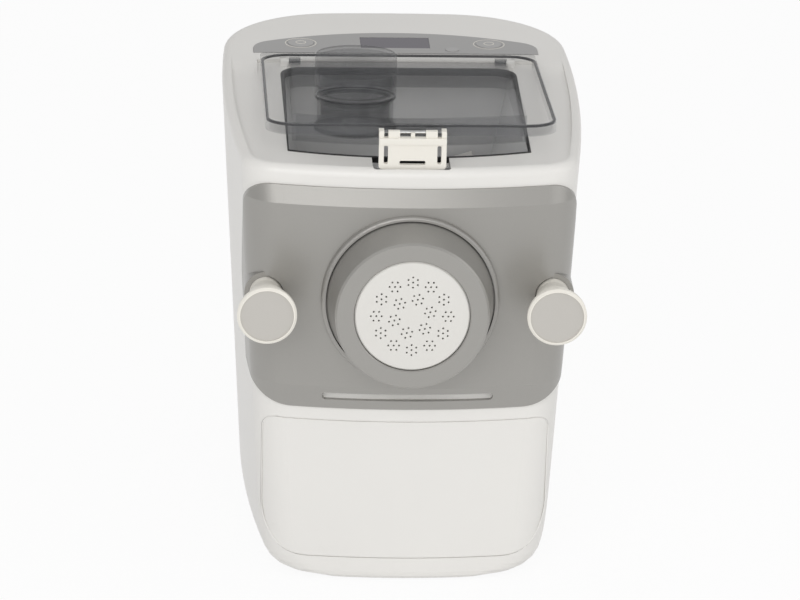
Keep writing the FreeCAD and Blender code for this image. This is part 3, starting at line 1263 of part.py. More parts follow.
def cooling_fan():
    y0 = MOTOR_Y + MOTOR_LENGTH + FAN_GAP
    hub = rod_y(0, MOTOR_Z, FAN_HUB_RADIUS, y0, y0 + FAN_WIDTH)
    mid = y0 + FAN_WIDTH / 2
    half = FAN_BLADE_THICKNESS / 2
    blades = []
    for i in range(FAN_BLADES):
        ends = (mid - half, mid + half, MOTOR_Z - FAN_BLADE_HALF, MOTOR_Z + FAN_BLADE_HALF)
        blade = box(FAN_HUB_RADIUS - CUT, FAN_RADIUS, *ends)
        blade.rotate(V(0, 0, MOTOR_Z), V(0, 1, 0), 360.0 * i / FAN_BLADES)
        blades.append(blade)
    fan = hub.fuse(blades)
    return fan.cut(rod_y(0, MOTOR_Z, MOTOR_SHAFT_RADIUS, y0 - CUT, y0 + 2 * FAN_WIDTH)).removeSplitter()


def power_board():
    """A board held on four posts behind the rear gear plate, with two capacitors."""
    half = POWER_BOARD_HALF_WIDTH
    high = PLATE_TOP - POWER_BOARD_DROP
    low = high - POWER_BOARD_HEIGHT
    y = MOTOR_Y + POWER_BOARD_STANDOFF
    rear = y + BOARD_THICKNESS
    board = box(-half, half, y, rear, low, high)
    inset = 2 * POST_RADIUS
    for x in (-half + inset, half - inset):
        for z in (low + inset, high - inset):
            board = board.fuse(rod_y(x, z, POST_RADIUS, MOTOR_Y, y))
        board = board.fuse(rod_y(x / 2, (low + high) / 2, CAPACITOR_RADIUS, rear, rear + CAPACITOR_LENGTH))
    return board


def cord_gland():
    low = rear_surface_y(GLAND_X + GLAND_RADIUS) - WALL - GLAND_LIP
    high = rear_surface_y(GLAND_X)
    ring = rod_y(GLAND_X, GLAND_HEIGHT, GLAND_RADIUS, low, high)
    ring = ring.fuse(rod_y(GLAND_X, GLAND_HEIGHT, GLAND_RADIUS + GLAND_FLANGE, low, low + GLAND_LIP - CUT))
    return ring.cut(rod_y(GLAND_X, GLAND_HEIGHT, GLAND_BORE_RADIUS, low - CUT, high + CUT))


def pieces():
    made = {
        "housing_shell": housing_shell(),
        "top_deck": top_deck(),
        "base_plate": base_plate(),
        "rubber_feet": rubber_feet(),
        "inner_floor": inner_floor(),
        "chamber_cradle": chamber_cradle(),
        "mixing_chamber": mixing_chamber(),
        "chamber_bush": shaft_bush(CHAMBER_REAR_Y - CHAMBER_WALL, CHAMBER_REAR_Y),
        "front_plate_bush": shaft_bush(FRONT_PLATE_Y, FRONT_PLATE_Y + PLATE_THICKNESS),
        "rear_plate_bush": shaft_bush(REAR_PLATE_Y, MOTOR_Y),
        "extrusion_tube": extrusion_tube(),
        "shaping_disc": shaping_disc(),
        "extruder_nut": extruder_nut(),
        "front_panel": front_panel(),
        "knob_inserts": knob_inserts(),
        "control_fascia": control_fascia(),
        "display_window": display_window(),
        "display_module": display_module(),
        "control_board": control_board(),
        "power_board": power_board(),
        "lid_switch": lid_switch(),
        "lid_panel": lid_panel(),
        "water_inlet": water_inlet(),
        "inlet_seal": inlet_seal(),
        "lid_hinge_pins": lid_hinge_pins(),
        "lid_latch": lid_latch(),
        "latch_pin": latch_pin(),
        "drawer_front": drawer_front(),
        "drawer_tray": drawer_tray(),
        "drive_shaft": drive_shaft(),
        "mixing_paddle": mixing_paddle(),
        "auger": auger(),
        "final_gear": final_gear(),
        "reduction_gear": reduction_gear(),
        "idler_pin": idler_pin(),
        "motor_pinion": motor_pinion(),
        "motor_shaft": motor_shaft(),
        "motor_body": motor_body(),
        "cooling_fan": cooling_fan(),
        "gear_plate_front": gear_plate(FRONT_PLATE_Y),
        "gear_plate_rear": gear_plate(REAR_PLATE_Y),
        "gear_spacers": gear_spacers(),
        "cord_gland": cord_gland(),
        "latch_strike": latch_strike(),
    }
    for name, x, y, radius in buttons():
        made[name] = push_button(x, y, radius)
    for word, side in (("left", -1), ("right", 1)):
        made[word + "_knob"] = knob(side)
        made[word + "_knob_cap"] = knob_cap(side)
        made[word + "_knob_stud"] = knob_stud(side)
    return made


def main():
    os.makedirs("parts", exist_ok=True)
    for name, shape in pieces().items():
        placed = shape.copy()
        placed.translate(V(0, ORIGIN_SHIFT, 0))
        placed.exportStep(os.path.join("parts", name + ".step"))
        print(f"{name}: solids {len(placed.Solids)} volume {placed.Volume:.0f} valid {placed.isValid()}")


main()
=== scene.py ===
import bmesh
import bpy
import json
import math
from mathutils import Matrix, Vector
from mathutils.bvhtree import BVHTree


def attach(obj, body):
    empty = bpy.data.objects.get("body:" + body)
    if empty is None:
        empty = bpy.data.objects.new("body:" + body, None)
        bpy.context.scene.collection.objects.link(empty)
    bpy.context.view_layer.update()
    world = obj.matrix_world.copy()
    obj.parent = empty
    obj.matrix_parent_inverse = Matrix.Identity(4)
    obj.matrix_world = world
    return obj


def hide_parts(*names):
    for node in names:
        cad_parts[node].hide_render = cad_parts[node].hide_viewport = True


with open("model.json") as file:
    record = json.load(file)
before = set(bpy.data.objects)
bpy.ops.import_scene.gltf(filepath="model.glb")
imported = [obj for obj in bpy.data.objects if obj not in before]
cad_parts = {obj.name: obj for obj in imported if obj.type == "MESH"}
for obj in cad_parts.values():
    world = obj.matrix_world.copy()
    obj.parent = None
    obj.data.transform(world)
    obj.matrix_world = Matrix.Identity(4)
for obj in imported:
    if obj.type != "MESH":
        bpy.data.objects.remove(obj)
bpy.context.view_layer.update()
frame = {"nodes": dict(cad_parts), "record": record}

# Camera, as a photographer would note it: metres, degrees and the photograph's frame in pixels
FRAME_WIDTH_PX = 800
FOCAL_PX = 4880
SENSOR_MM = 36.0
CAMERA_DISTANCE = 3.0
CAMERA_DOWN_DEG = 20.3
CAMERA_LEFT_DEG = 2.96
CAMERA_ROLL_DEG = 1.35
CAMERA_AIM = Vector((0.00249, 0.0175, 0.1206))

# Light and floor. Each lamp has a name, a place, a size and a power
WORLD_LIGHT = 0.56
LAMP_AIM = Vector((0.0, 0.0, 0.14))
LAMPS = (
    ("key", (-0.5, -2.1, 1.2), (1.8, 1.4), 21.0),
    ("fill", (1.7, -1.0, 1.0), (1.4, 1.4), 6.0),
    ("top", (0.3, 0.7, 2.2), (1.8, 1.4), 4.0),
)
WHITE = (1.0, 1.0, 1.0, 1.0)
FLOOR_SIZE = 8.0
FLOOR_WHITE_SHARE = 0.92

# Places on the machine, in metres. Its own y plus this shift is the frame's y
ORIGIN_SHIFT = 0.0175
UNDERSIDE = 0.0010
DECK_FLOOR = 0.2560
DECK_TOP = 0.2580

# Opening in the deck, and the seal around it
OPENING_HALF = 0.0705
OPENING_FRONT_Y = ORIGIN_SHIFT - 0.1270
OPENING_REAR_Y = ORIGIN_SHIFT + 0.0420
OPENING_BOW = 0.2150
OPENING_CORNER = 0.0120
OPENING_BOW_STEPS = 40
OPENING_UNDERSIDE = 0.2522
SEAL_WIDTH = 0.0018
SEAL_TOP_WIDTH = 0.00162
SEAL_LIP = 0.0008
SEAL_RISE = 0.0004

# Marks on the two large buttons, and the rings around them
BUTTON_PLACES = ((-0.0585, "start_button"), (0.0585, "program_button"))
BUTTON_Y = ORIGIN_SHIFT + 0.0865
BUTTON_TOP = 0.2589
BUTTON_RING_RADIUS = 0.00928
BUTTON_MARK_RADIUS = 0.0028
FASCIA_TOP = 0.2584
MARK_WIDTH = 0.0005
MARK_HEIGHT = 0.00012

# Screws of the hatch, each with a cross recess that narrows inwards
SCREW_X = 0.0330
SCREW_Y = 0.0800
SCREW_SIDES = 40
SCREW_RADIUS = 0.0030
SCREW_SEAT_RADIUS = 0.00324
SCREW_HEIGHT = 0.0006
CROSS_HALF_LENGTH = 0.00186
CROSS_HALF_WIDTH = 0.00048
CROSS_TAPER = 0.8

# Lid as it lies when shut, its hinge, and the foot of the water inlet on it
LID_HINGE_Y = ORIGIN_SHIFT + 0.0480
LID_HINGE_Z = 0.2589
LID_AJAR_DEG = 5.4
LID_TOP = 0.2640
LID_HALF_WIDTH = 0.0845
LID_FRONT_Y = ORIGIN_SHIFT - 0.1440
LID_REAR_Y = ORIGIN_SHIFT + 0.0500
LID_CORNER = 0.0180
INLET_X = -0.0305
INLET_Y = ORIGIN_SHIFT - 0.0750
INLET_RADIUS = 0.0242

# Dark edges painted into the lid's plastic, for the shade that its thick edges show: how far inside the
# outline they start and end, and their heights
LID_EDGE_SHADE = (-0.0021, -0.0004, LID_TOP - 0.0022, LID_TOP - 0.0009)
INLET_FOOT_EDGE_SHADE = (-0.0016, -0.0004, LID_TOP + 0.0003, LID_TOP + 0.0013)

# Ramps of the deck beside the lid, which follow the bowed rim
RAMP_REAR_Y = ORIGIN_SHIFT + 0.0540
RAMP_LENGTH = 0.0300
RAMP_STEPS = 12
RAMP_INNER_X = 0.0862
RIM_INNER_X = 0.1019
SIDE_BOW = 1.2500
SIDE_WIDEST_Y = ORIGIN_SHIFT + 0.0250

# Lower body: the solids' side rounding, and the fuller one that the photograph shows
SOLID_ROUNDING = 0.0420
SEEN_ROUNDING = 0.0150
HALF_WIDTH = 0.1080
SIDE_DRAFT_DEG = 3.15
SIDE_DRAFT = math.tan(math.radians(SIDE_DRAFT_DEG))
SPREAD_FROM_X = 0.0460

# Edge of the drawer's front, the lip in the gap around it, and the probe that finds how deep it sits
DRAWER_HALF_WIDTH = 0.0840
DRAWER_LOW = 0.0160
DRAWER_HIGH = 0.1020
DRAWER_LOW_RADIUS = 0.0300
DRAWER_HIGH_RADIUS = 0.0080
LIP_START = 0.00005
LIP_WIDTH = 0.0006
LIP_DEPTH = 0.0006
LIP_THICKNESS = 0.0008
LIP_SPACING = 0.004
LIP_CORNER_STEPS = 12
PROBE_INSET = 0.0008
PROBE_START_Y = -0.5

# Clear plastic: what its rounded edges, a grazing view and the flow marks add to its density
ROUNDED_DENSITY = 0.4
GRAZING_DENSITY = 0.18
FLOW_DENSITY = 0.04
HIGHEST_DENSITY = 0.97


class Wire:
    """A value in a node tree. Arithmetic on it adds the Math nodes."""

    def __init__(self, nodes, socket):
        self.nodes = nodes
        self.socket = socket

    def maths(self, operation, left, right):
        return self.nodes.node("ShaderNodeMath", {"operation": operation}, {0: left, 1: right})

    def __add__(self, other):
        return self.maths("ADD", self, other)

    def __radd__(self, other):
        return self.maths("ADD", other, self)

    def __sub__(self, other):
        return self.maths("SUBTRACT", self, other)

    def __rsub__(self, other):
        return self.maths("SUBTRACT", other, self)

    def __mul__(self, other):
        return self.maths("MULTIPLY", self, other)

    def __rmul__(self, other):
        return self.maths("MULTIPLY", other, self)

    def __pow__(self, other):
        return self.maths("POWER", self, other)

    def at_most(self, limit):
        return self.maths("MINIMUM", self, limit)

    def at_least(self, limit):
        return self.maths("MAXIMUM", self, limit)


class NodeTree:
    """The emptied node tree of a material or of the world, with its output node."""

    def __init__(self, owner, output):
        owner.use_nodes = True
        self.tree = owner.node_tree
        self.tree.nodes.clear()
        self.surface = self.tree.nodes.new(output).inputs["Surface"]

    def feed(self, socket, value):
        if isinstance(value, Wire):
            self.tree.links.new(value.socket, socket)
        else:
            socket.default_value = value

    def node(self, kind, settings=None, inputs=None, output=0):
        """A node of a type: its settings are made first, then its sockets take values or wires."""
        made = self.tree.nodes.new(kind)
        for word, value in (settings or {}).items():
            setattr(made, word, value)
        for word, value in (inputs or {}).items():
            self.feed(made.inputs[word], value)
        return Wire(self, made.outputs[output])


class Finish(NodeTree):
    """One surface finish: a Principled shader and the nodes that vary it over the surface."""

    def __init__(self, name, **constants):
        self.name = name
        self.material = bpy.data.materials.new(name)
        super().__init__(self.material, "ShaderNodeOutputMaterial")
        self.shader = self.tree.nodes.new("ShaderNodeBsdfPrincipled")
        self.feed(self.surface, Wire(self, self.shader.outputs[0]))
        for word, value in constants.items():
            self.set(word.replace("_", " "), value)

    def set(self, word, value):
        self.feed(self.shader.inputs[word], value)
        return self

    def place(self):
        return self.node("ShaderNodeTexCoord", output="Object")

    def stretched(self, x, y, z):
        inputs = {0: self.place(), 1: (x, y, z)}
        return self.node("ShaderNodeVectorMath", {"operation": "MULTIPLY"}, inputs)

    def noise(self, scale, detail=2.0, place=None):
        inputs = {"Vector": place or self.place(), "Scale": scale, "Detail": detail}
        return self.node("ShaderNodeTexNoise", None, inputs)

    def between(self, share, low, high):
        """A colour that goes from low to high as share goes from 0 to 1."""
        settings = {"data_type": "RGBA", "clamp_factor": True}
        return self.node("ShaderNodeMix", settings, {0: share, 6: low + (1.0,), 7: high + (1.0,)}, 2)

    def relief(self, height, depth, strength=0.5):
        inputs = {"Height": height, "Distance": depth, "Strength": strength}
        return self.set("Normal", self.node("ShaderNodeBump", None, inputs))


def shade(colour, amount):
    return tuple(channel * amount for channel in colour)


# Finishes
def moulded(name, colour, roughness, grain=2600.0, depth=0.00003):
    """Injection moulded plastic: fine spark-eroded grain, slight mottling and rubbed patches."""
    finish = Finish(name)
    mottle = finish.noise(14.0, detail=3.0)
    fine = finish.noise(grain)
    finish.set("Base Color", finish.between(mottle * 1.6 - 0.3, shade(colour, 0.975), colour))
    finish.set("Roughness", roughness + (mottle - 0.5) * 0.10 + (fine - 0.5) * 0.06)
    return finish.relief(fine, depth)


def polished(name, colour):
    """Plastic from a polished mould: glossy, with hardly any grain."""
    return moulded(name, colour, 0.12, grain=900.0, depth=0.000002)


def lacquered(name, colour, roughness):
    """Silver lacquer on plastic: metal flakes under a thin clear coat."""
    finish = Finish(name, Coat_Weight=0.25, Coat_Roughness=0.18)
    flakes = finish.noise(5200.0)
    mottle = finish.noise(9.0)
    sparkle = (flakes - 0.5) * 0.9 + 0.5
    finish.set("Base Color", finish.between(sparkle, shade(colour, 0.86), shade(colour, 1.12)))
    finish.set("Metallic", 0.55 + (flakes - 0.5) * 0.3)
    finish.set("Roughness", roughness + (mottle - 0.5) * 0.06)
    return finish.relief(flakes, 0.000012, strength=0.6)


def clear(name, colour, flat_density, wall_density):
    """Tinted clear plastic: denser on its walls and at grazing angles, with faint flow marks."""
    finish = Finish(name, Coat_Weight=0.6, Coat_Roughness=0.03)
    normal = finish.node("ShaderNodeTexCoord", output="Normal")
    inputs = {0: normal, 1: (0.0, 0.0, 1.0)}
    upright = finish.node("ShaderNodeVectorMath", {"operation": "DOT_PRODUCT"}, inputs, "Value")
    flatness = finish.node("ShaderNodeMath", {"operation": "ABSOLUTE"}, {0: upright})
    grazing = finish.node("ShaderNodeLayerWeight", None, {"Blend": 0.5}, "Facing")
    flow = finish.noise(26.0, detail=3.0, place=finish.stretched(1.0, 0.3, 1.0))
    wall = (1.0 - flatness).at_least(0.0)
    # The product of the two is a quarter at most, halfway round an edge
    rounded = (flatness * wall * 4.0).at_most(1.0)
    density = flat_density + wall * (wall_density - flat_density) + rounded * ROUNDED_DENSITY
    density = density + grazing ** 4.0 * GRAZING_DENSITY + (flow - 0.5) * FLOW_DENSITY
    finish.set("Alpha", density.at_most(HIGHEST_DENSITY))
    finish.set("Base Color", finish.between(flow, shade(colour, 0.9), colour))
    return finish.set("Roughness", 0.05 + (flow - 0.5) * 0.03)


def turned_metal(name, colour, roughness):
    """Turned metal: fine tool marks one behind another along the front-to-back axis."""
    finish = Finish(name, Metallic=1.0)
    marks = finish.noise(1.0, place=finish.stretched(60.0, 2400.0, 60.0))
    finish.set("Base Color", finish.between(marks, shade(colour, 0.85), colour))
    finish.set("Roughness", roughness + (marks - 0.5) * 0.2)
    return finish.relief(marks, 0.00002)


def rubber(name):
    """Black rubber: matt, with a fine dusty grain."""
    finish = Finish(name)
    fine = finish.noise(1800.0, detail=3.0)
    finish.set("Base Color", finish.between(fine, (0.018, 0.018, 0.019), (0.034, 0.033, 0.033)))
    finish.set("Roughness", 0.62 + (fine - 0.5) * 0.2)
    return finish.relief(fine, 0.00004)


def circuit_board(name):
    """Green lacquered board with copper tracks that stand a little proud."""
    finish = Finish(name, Coat_Weight=0.4, Coat_Roughness=0.15)
    inputs = {"Vector": finish.place(), "Scale": 260.0, "Mortar Size": 0.01}
    tracks = finish.node("ShaderNodeTexBrick", None, inputs, "Fac")
    finish.set("Base Color", finish.between(tracks, (0.02, 0.13, 0.06), (0.05, 0.22, 0.11)))
    finish.set("Roughness", 0.35 + tracks * 0.1)
    return finish.relief(tracks, 0.00004)


def floor_paper():
    """Pale paper. The camera and reflections see most of it as plain white, with the shadow kept."""
    finish = Finish("floor_paper", Roughness=0.7)
    fibres = finish.noise(40.0, detail=3.0)
    finish.set("Base Color", finish.between(fibres, (0.90, 0.90, 0.90), (0.93, 0.93, 0.93)))
    seen = finish.node("ShaderNodeLightPath", output="Is Camera Ray")
    mirrored = finish.node("ShaderNodeLightPath", output="Is Glossy Ray")
    through = finish.node("ShaderNodeLightPath", output="Is Transmission Ray")
    share = (seen + mirrored + through).at_most(1.0) * FLOOR_WHITE_SHARE
    paper = Wire(finish, finish.shader.outputs[0])
    glow = finish.node("ShaderNodeEmission", None, {"Color": WHITE, "Strength": 1.0})
    mixed = finish.node("ShaderNodeMixShader", None, {0: share, 1: paper, 2: glow})
    finish.feed(finish.surface, mixed)
    return finish.material


def make_finishes():
    """The finishes by name: one for each slot of the record, and two more of the scene's own."""
    made = (
        moulded("white_housing", (0.80, 0.785, 0.755), 0.36),
        lacquered("silver_panel", (0.36, 0.35, 0.33), 0.44),
        clear("smoke_clear", (0.10, 0.102, 0.108), 0.03, 0.16),
        # Painted light: a pale, dense copy of the clear plastic that lifts the shade inside the chamber
        clear("chamber_clear_painted_light", (0.80, 0.80, 0.80), 0.72, 0.78),
        # Painted shade: near-black lines for the shade at the lid's thick edges
        polished("smoke_edge_painted_shade", (0.028, 0.028, 0.031)),
        moulded("cream_latch", (0.84, 0.81, 0.74), 0.34),
        moulded("knob_face", (0.52, 0.50, 0.465), 0.42),
        moulded("disc_white", (0.72, 0.705, 0.67), 0.45),
        moulded("fascia_grey", (0.36, 0.355, 0.35), 0.30),
        polished("display_dark", (0.10, 0.09, 0.11)),
        moulded("button_grey", (0.40, 0.395, 0.39), 0.34),
        turned_metal("steel", (0.56, 0.56, 0.55), 0.28),
        turned_metal("brass", (0.70, 0.52, 0.24), 0.30),
        rubber("black_rubber"),
        moulded("paddle_white", (0.78, 0.765, 0.73), 0.40),
        moulded("gear_nylon", (0.74, 0.72, 0.65), 0.45),
        circuit_board("board_green"),
        moulded("black_plastic", (0.03, 0.03, 0.031), 0.45),
    )
    return {finish.name: finish.material for finish in made}


def dress_nodes():
    """Every carried-over node takes the finish of its slot, and the chamber a lighter one, painted
    light that lifts the shade inside it.
    """
    slots = {row["node"]: row["material_slot"] for row in frame["record"]["subparts"]}
    # Painted light: the chamber's clear plastic is made pale and dense to lift the shade inside it
    slots["mixing_chamber"] = "chamber_clear_painted_light"
    for name, piece in frame["nodes"].items():
        piece.data.materials.clear()
        piece.data.materials.append(finishes[slots[name]])


# Outlines: points in a plane, each with its outward direction
def arc(x, y, radius, start, sweep, steps=10):
    """A stretch of a circle. Its start and sweep are in degrees."""
    outline = []
    for i in range(steps + 1):
        turn = math.radians(start + sweep * i / steps)
        out = (math.cos(turn), math.sin(turn))
        outline.append(((x + radius * out[0], y + radius * out[1]), out))
    return outline


def circle(x, y, radius, sides=64):
    return arc(x, y, radius, 0, 360, sides)[:-1]


def rounded_outline(half_width, low, high, low_radius, high_radius, steps=10):
    """Straight sides and round corners, from the upper right corner round to the lower right."""
    outline = []
    for quarter, side in enumerate((1, -1, -1, 1)):
        if quarter < 2:
            radius = high_radius
            middle = high - radius
        else:
            radius = low_radius
            middle = low + radius
        outline += arc(side * (half_width - radius), middle, radius, 90 * quarter, 90, steps)
    return outline


def opening_outline():
    """The edge of the opening in the deck: a bowed front, straight sides and round rear corners."""
    reach = math.degrees(math.asin(OPENING_HALF / OPENING_BOW))
    bow_y = OPENING_FRONT_Y + OPENING_BOW
    outline = arc(0.0, bow_y, OPENING_BOW, -90 - reach, 2 * reach, OPENING_BOW_STEPS)
    for quarter, side in enumerate((1, -1)):
        corner_x = side * (OPENING_HALF - OPENING_CORNER)
        corner_y = OPENING_REAR_Y - OPENING_CORNER
        outline += arc(corner_x, corner_y, OPENING_CORNER, 90 * quarter, 90)
    return outline


def finer(outline, spacing):
    """The outline with more points along its straight stretches, about a spacing apart."""
    fine = []
    for ((x, y), out), ((next_x, next_y), _) in zip(outline, outline[1:] + outline[:1]):
        steps = max(1, int(math.hypot(next_x - x, next_y - y) / spacing))
        for k in range(steps):
            share = k / steps
            fine.append(((x + (next_x - x) * share, y + (next_y - y) * share), out))
    return fine


def outwards(point, out, distance):
    return point[0] + out[0] * distance, point[1] + out[1] * distance


def bar(inner, outer, low, high):
    """A square-edged section: distances outwards from an outline, each with a height."""
    return [(inner, low), (outer, low), (outer, high), (inner, high)]


def band_faces(rows, count, closed=True):
    """Faces between rows of points, where each row goes once around a section of count points."""
    faces = []
    for row in range(rows if closed else rows - 1):
        here = row * count
        there = (row + 1) % rows * count
        for j in range(count):
            k = (j + 1) % count
            faces.append((here + j, there + j, there + k, here + k))
    return faces


# Pieces of the scene
def add_piece(name, mesh, finish, body, place=Matrix()):
    """A piece that rides on a body and carries a finish."""
    piece = bpy.data.objects.new(name, mesh)
    piece.matrix_world = place
    bpy.context.scene.collection.objects.link(piece)
    mesh.materials.clear()
    mesh.materials.append(finishes[finish])
    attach(piece, body)
    return piece


def add_shape(name, points, faces, finish, body, smooth=True):
    mesh = bpy.data.meshes.new(name)
    mesh.from_pydata(points, [], faces)
    mesh.validate()
    if smooth:
        mesh.shade_smooth()
    else:
        mesh.shade_flat()
    return add_piece(name, mesh, finish, body)


def add_bead(name, outline, section, finish, body):
    """A closed bead that carries its section along a level outline."""
    points = []
    for point, out in outline:
        points += [(*outwards(point, out, distance), height) for distance, height in section]
    return add_shape(name, points, band_faces(len(outline), len(section)), finish, body)


def add_lid_shade_bead(name, outline, section):
    """A painted shade line in the lid's plastic, given for the shut lid and turned to where the lid
    stands.
    """
    piece = add_bead(name, outline, section, "smoke_edge_painted_shade", "lid")
    hinge = Matrix.Translation((0.0, LID_HINGE_Y, LID_HINGE_Z))
    opened = Matrix.Rotation(-math.radians(LID_AJAR_DEG), 4, "X")
    piece.data.transform(hinge @ opened @ hinge.inverted())


def opening_seal():
    """A black seal that lines the opening's edge and lies a little over the deck."""
    top = DECK_FLOOR + SEAL_RISE
    section = [(SEAL_WIDTH, DECK_FLOOR), (SEAL_TOP_WIDTH, top), (0.0, top), (-SEAL_LIP, DECK_FLOOR)]
    section += [(-SEAL_LIP, OPENING_UNDERSIDE), (0.0, OPENING_UNDERSIDE), (0.0, DECK_FLOOR)]
    add_bead("opening_seal", opening_outline(), section, "black_rubber", "machine")


def button_marks():
    """A ring on the fascia around each large button, and a small ring on the button itself."""
    around = bar(0.0, MARK_WIDTH, FASCIA_TOP, FASCIA_TOP + MARK_HEIGHT)
    on_top = bar(0.0, MARK_WIDTH, BUTTON_TOP, BUTTON_TOP + MARK_HEIGHT)
    for x, button in BUTTON_PLACES:
        ring = circle(x, BUTTON_Y, BUTTON_RING_RADIUS)
        mark = circle(x, BUTTON_Y, BUTTON_MARK_RADIUS)
        add_bead(button + "_ring", ring, around, "cream_latch", "machine")
        add_bead(button + "_mark", mark, on_top, "cream_latch", button)


def cross_outline():
    """The screw's cross, made of one inner corner turned to each quarter."""
    thin = CROSS_HALF_WIDTH
    wide = CROSS_HALF_LENGTH
    corner = [(thin, wide), (thin, thin), (wide, thin)]
    cross = []
    for _ in range(4):
        cross += corner
        corner = [(y, -x) for x, y in corner]
    return cross


def screw_head(name, x, y):
    """A countersunk screw head seen from below, with a cross recess."""
    head = bmesh.new()
    low = UNDERSIDE - SCREW_HEIGHT
    rim = [head.verts.new((*p, low)) for p, _ in circle(x, y, SCREW_RADIUS, SCREW_SIDES)]
    seat = [head.verts.new((*p, UNDERSIDE)) for p, _ in circle(x, y, SCREW_SEAT_RADIUS, SCREW_SIDES)]
    cross = cross_outline()
    mouth = [head.verts.new((x + a, y + b, low)) for a, b in cross]
    bottom = [head.verts.new((x + a * CROSS_TAPER, y + b * CROSS_TAPER, UNDERSIDE)) for a, b in cross]
    edges = []
    for loop in (rim, mouth):
        edges += [head.edges.new(pair) for pair in zip(loop, loop[1:] + loop[:1])]
    bmesh.ops.triangle_fill(head, edges=edges, use_beauty=True)
    for upper, lower in ((rim, seat), (mouth, bottom)):
        for i in range(len(upper)):
            k = (i + 1) % len(upper)
            head.faces.new((upper[i], upper[k], lower[k], lower[i]))
    head.faces.new(bottom)
    bmesh.ops.recalc_face_normals(head, faces=head.faces)
    mesh = bpy.data.meshes.new(name)
    head.to_mesh(mesh)
    head.free()
    add_piece(name, mesh, "steel", "machine")


def hatch_screws():
    for x, side in ((-SCREW_X, "left"), (SCREW_X, "right")):
        for y, end in ((-SCREW_Y, "front"), (SCREW_Y, "rear")):
            screw_head("hatch_screw_%s_%s" % (side, end), x, y + ORIGIN_SHIFT)


def lid_edge_shades():
    """Painted shade: dark lines in the lid's plastic along its rim and round the inlet's foot, for the
    shade its thick edges show.
    """
    rim = rounded_outline(LID_HALF_WIDTH, LID_FRONT_Y, LID_REAR_Y, LID_CORNER, LID_CORNER)
    add_lid_shade_bead("lid_edge", rim, bar(*LID_EDGE_SHADE))
    add_lid_shade_bead("inlet_foot_edge", circle(INLET_X, INLET_Y, INLET_RADIUS), bar(*INLET_FOOT_EDGE_SHADE))


def deck_ramp(name, side):
    """Eases the deck down to its recess beside the lid, along the rim."""
    points = []
    for i in range(RAMP_STEPS + 1):
        y = RAMP_REAR_Y - RAMP_LENGTH * i / RAMP_STEPS
        ease = 0.5 + 0.5 * math.cos(math.pi * i / RAMP_STEPS)
        high = DECK_FLOOR + (DECK_TOP - DECK_FLOOR) * ease
        rim_x = RIM_INNER_X - (y - SIDE_WIDEST_Y) ** 2 / (2 * SIDE_BOW)
        left, right = sorted((side * RAMP_INNER_X, side * rim_x))
        points += [(left, y, DECK_FLOOR), (left, y, high), (right, y, high), (right, y, DECK_FLOOR)]
    last = 4 * RAMP_STEPS
    faces = band_faces(RAMP_STEPS + 1, 4, closed=False)
    faces += [(0, 1, 2, 3), (last + 3, last + 2, last + 1, last)]
    add_shape(name, points, faces, "white_housing", "machine", smooth=False)


# Lower body
def half_at(height, rounding):
    """Half width of the body at a height, for a given rounding of its lower sides."""
    lean = math.sqrt(1 + SIDE_DRAFT ** 2)
    middle = UNDERSIDE + rounding
    centre_x = HALF_WIDTH - (DECK_TOP - middle) * SIDE_DRAFT - rounding * lean
    if height > middle - rounding * SIDE_DRAFT / lean:
        return HALF_WIDTH - (DECK_TOP - height) * SIDE_DRAFT
    return centre_x + math.sqrt(max(0.0, rounding ** 2 - (middle - height) ** 2))


def spread(x, z):
    """Where a point of the solids goes on the fuller lower body: only the outer part moves sideways."""
    solid = half_at(z, SOLID_ROUNDING)
    share = min(1.0, max(0.0, (abs(x) - SPREAD_FROM_X) / (solid - SPREAD_FROM_X)))
    return x + math.copysign((half_at(z, SEEN_ROUNDING) - solid) * share, x)


def fuller(node, body, finish):
    """A copy of a node whose lower sides are as full as in the photograph. It stands for the node."""
    solid = frame["nodes"][node]
    place = solid.matrix_world.copy()
    back = place.inverted()
    mesh = solid.data.copy()
    for vert in mesh.vertices:
        point = place @ vert.co
        if point.z < UNDERSIDE + SOLID_ROUNDING:
            point.x = spread(point.x, point.z)
            vert.co = back @ point
    piece = add_piece(node + "_seen", mesh, finish, body, place)
    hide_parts(node)
    return piece


def drawer_lip(skin):
    """A thin lip in the gap around the drawer's front, a little behind the front's surface."""
    tree = BVHTree.FromObject(skin, bpy.context.evaluated_depsgraph_get())
    to_skin = skin.matrix_world.inverted()
    heights = (DRAWER_LOW, DRAWER_HIGH)
    radii = (DRAWER_LOW_RADIUS, DRAWER_HIGH_RADIUS)
    outline = rounded_outline(DRAWER_HALF_WIDTH, *heights, *radii, LIP_CORNER_STEPS)
    section = bar(LIP_START, LIP_WIDTH, 0.0, LIP_THICKNESS)
    points = []
    for edge, out in finer(outline, LIP_SPACING):
        x, z = outwards(edge, out, -PROBE_INSET)
        ahead = Vector((spread(x, z), PROBE_START_Y, z))
        hit = tree.ray_cast(to_skin @ ahead, Vector((0, 1, 0)))[0]
        front = (skin.matrix_world @ hit).y + LIP_DEPTH
        for distance, depth in reversed(section):
            x, z = outwards(edge, out, distance)
            points.append((spread(x, z), front + depth, z))
    faces = band_faces(len(points) // len(section), len(section))
    add_shape("drawer_gap_lip", points, faces, "white_housing", "machine", smooth=False)


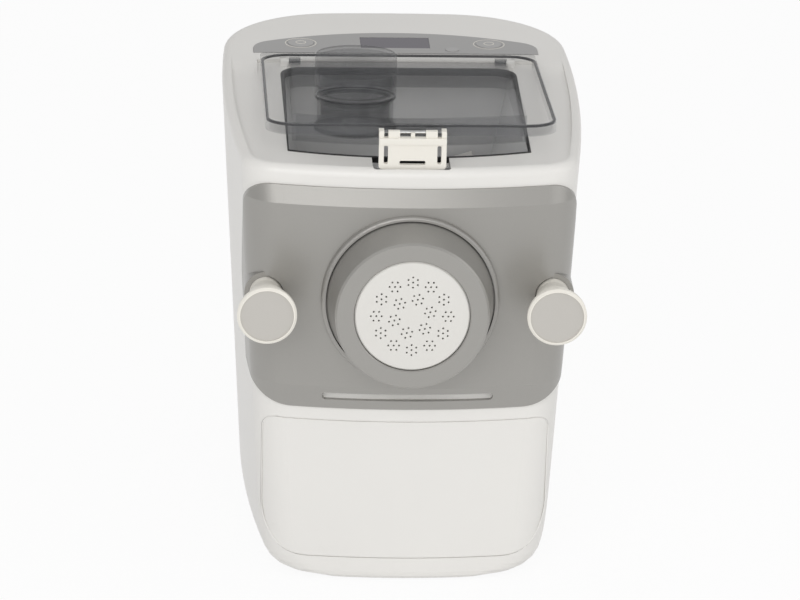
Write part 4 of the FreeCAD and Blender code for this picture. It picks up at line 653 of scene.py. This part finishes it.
# Stage
def make_camera():
    """The photograph's camera: in front, above and a little to the left, and slightly rolled."""
    down = math.radians(CAMERA_DOWN_DEG)
    left = math.radians(CAMERA_LEFT_DEG)
    roll = math.radians(CAMERA_ROLL_DEG)
    back = Vector((-math.sin(left) * math.cos(down), -math.cos(left) * math.cos(down), math.sin(down)))
    level = (-back).cross(Vector((0, 0, 1))).normalized()
    upright = level.cross(-back)
    right = level * math.cos(roll) + upright * math.sin(roll)
    up = upright * math.cos(roll) - level * math.sin(roll)
    turn = Matrix((right, up, back)).transposed().to_4x4()
    camera = bpy.data.objects.new("camera", bpy.data.cameras.new("camera"))
    bpy.context.scene.collection.objects.link(camera)
    camera.matrix_world = Matrix.Translation(CAMERA_AIM + back * CAMERA_DISTANCE) @ turn
    camera.data.sensor_width = SENSOR_MM
    camera.data.lens = SENSOR_MM * FOCAL_PX / FRAME_WIDTH_PX
    bpy.context.scene.camera = camera


def make_world():
    """Even light from all around, and a pale backdrop that the camera alone sees."""
    studio = bpy.data.worlds.new("studio")
    bpy.context.scene.world = studio
    world = NodeTree(studio, "ShaderNodeOutputWorld")
    light = world.node("ShaderNodeBackground", None, {"Color": WHITE, "Strength": WORLD_LIGHT})
    backdrop = world.node("ShaderNodeBackground", None, {"Strength": 1.0})
    seen = world.node("ShaderNodeLightPath", output="Is Camera Ray")
    mixed = world.node("ShaderNodeMixShader", None, {0: seen, 1: light, 2: backdrop})
    world.feed(world.surface, mixed)


def make_floor():
    mesh = bpy.data.meshes.new("floor")
    half = FLOOR_SIZE / 2
    corners = [(-half, -half, 0), (half, -half, 0), (half, half, 0), (-half, half, 0)]
    mesh.from_pydata(corners, [], [(0, 1, 2, 3)])
    mesh.materials.append(floor_paper())
    floor = bpy.data.objects.new("floor", mesh)
    bpy.context.scene.collection.objects.link(floor)


def add_lamp(name, place, size, power):
    lamp = bpy.data.objects.new(name, bpy.data.lights.new(name, "AREA"))
    lamp.data.shape = "RECTANGLE"
    lamp.data.size = size[0]
    lamp.data.size_y = size[1]
    lamp.data.energy = power
    lamp.location = place
    lamp.rotation_euler = (LAMP_AIM - Vector(place)).to_track_quat("-Z", "Y").to_euler()
    bpy.context.scene.collection.objects.link(lamp)


make_camera()
make_world()
make_floor()
for lamp in LAMPS:
    add_lamp(*lamp)
bpy.context.scene.view_settings.view_transform = "Standard"

finishes = make_finishes()
dress_nodes()
opening_seal()
button_marks()
hatch_screws()
lid_edge_shades()
deck_ramp("deck_ramp_left", -1)
deck_ramp("deck_ramp_right", 1)
fuller("housing_shell", "machine", "white_housing")
drawer_lip(fuller("drawer_front", "drawer", "white_housing"))
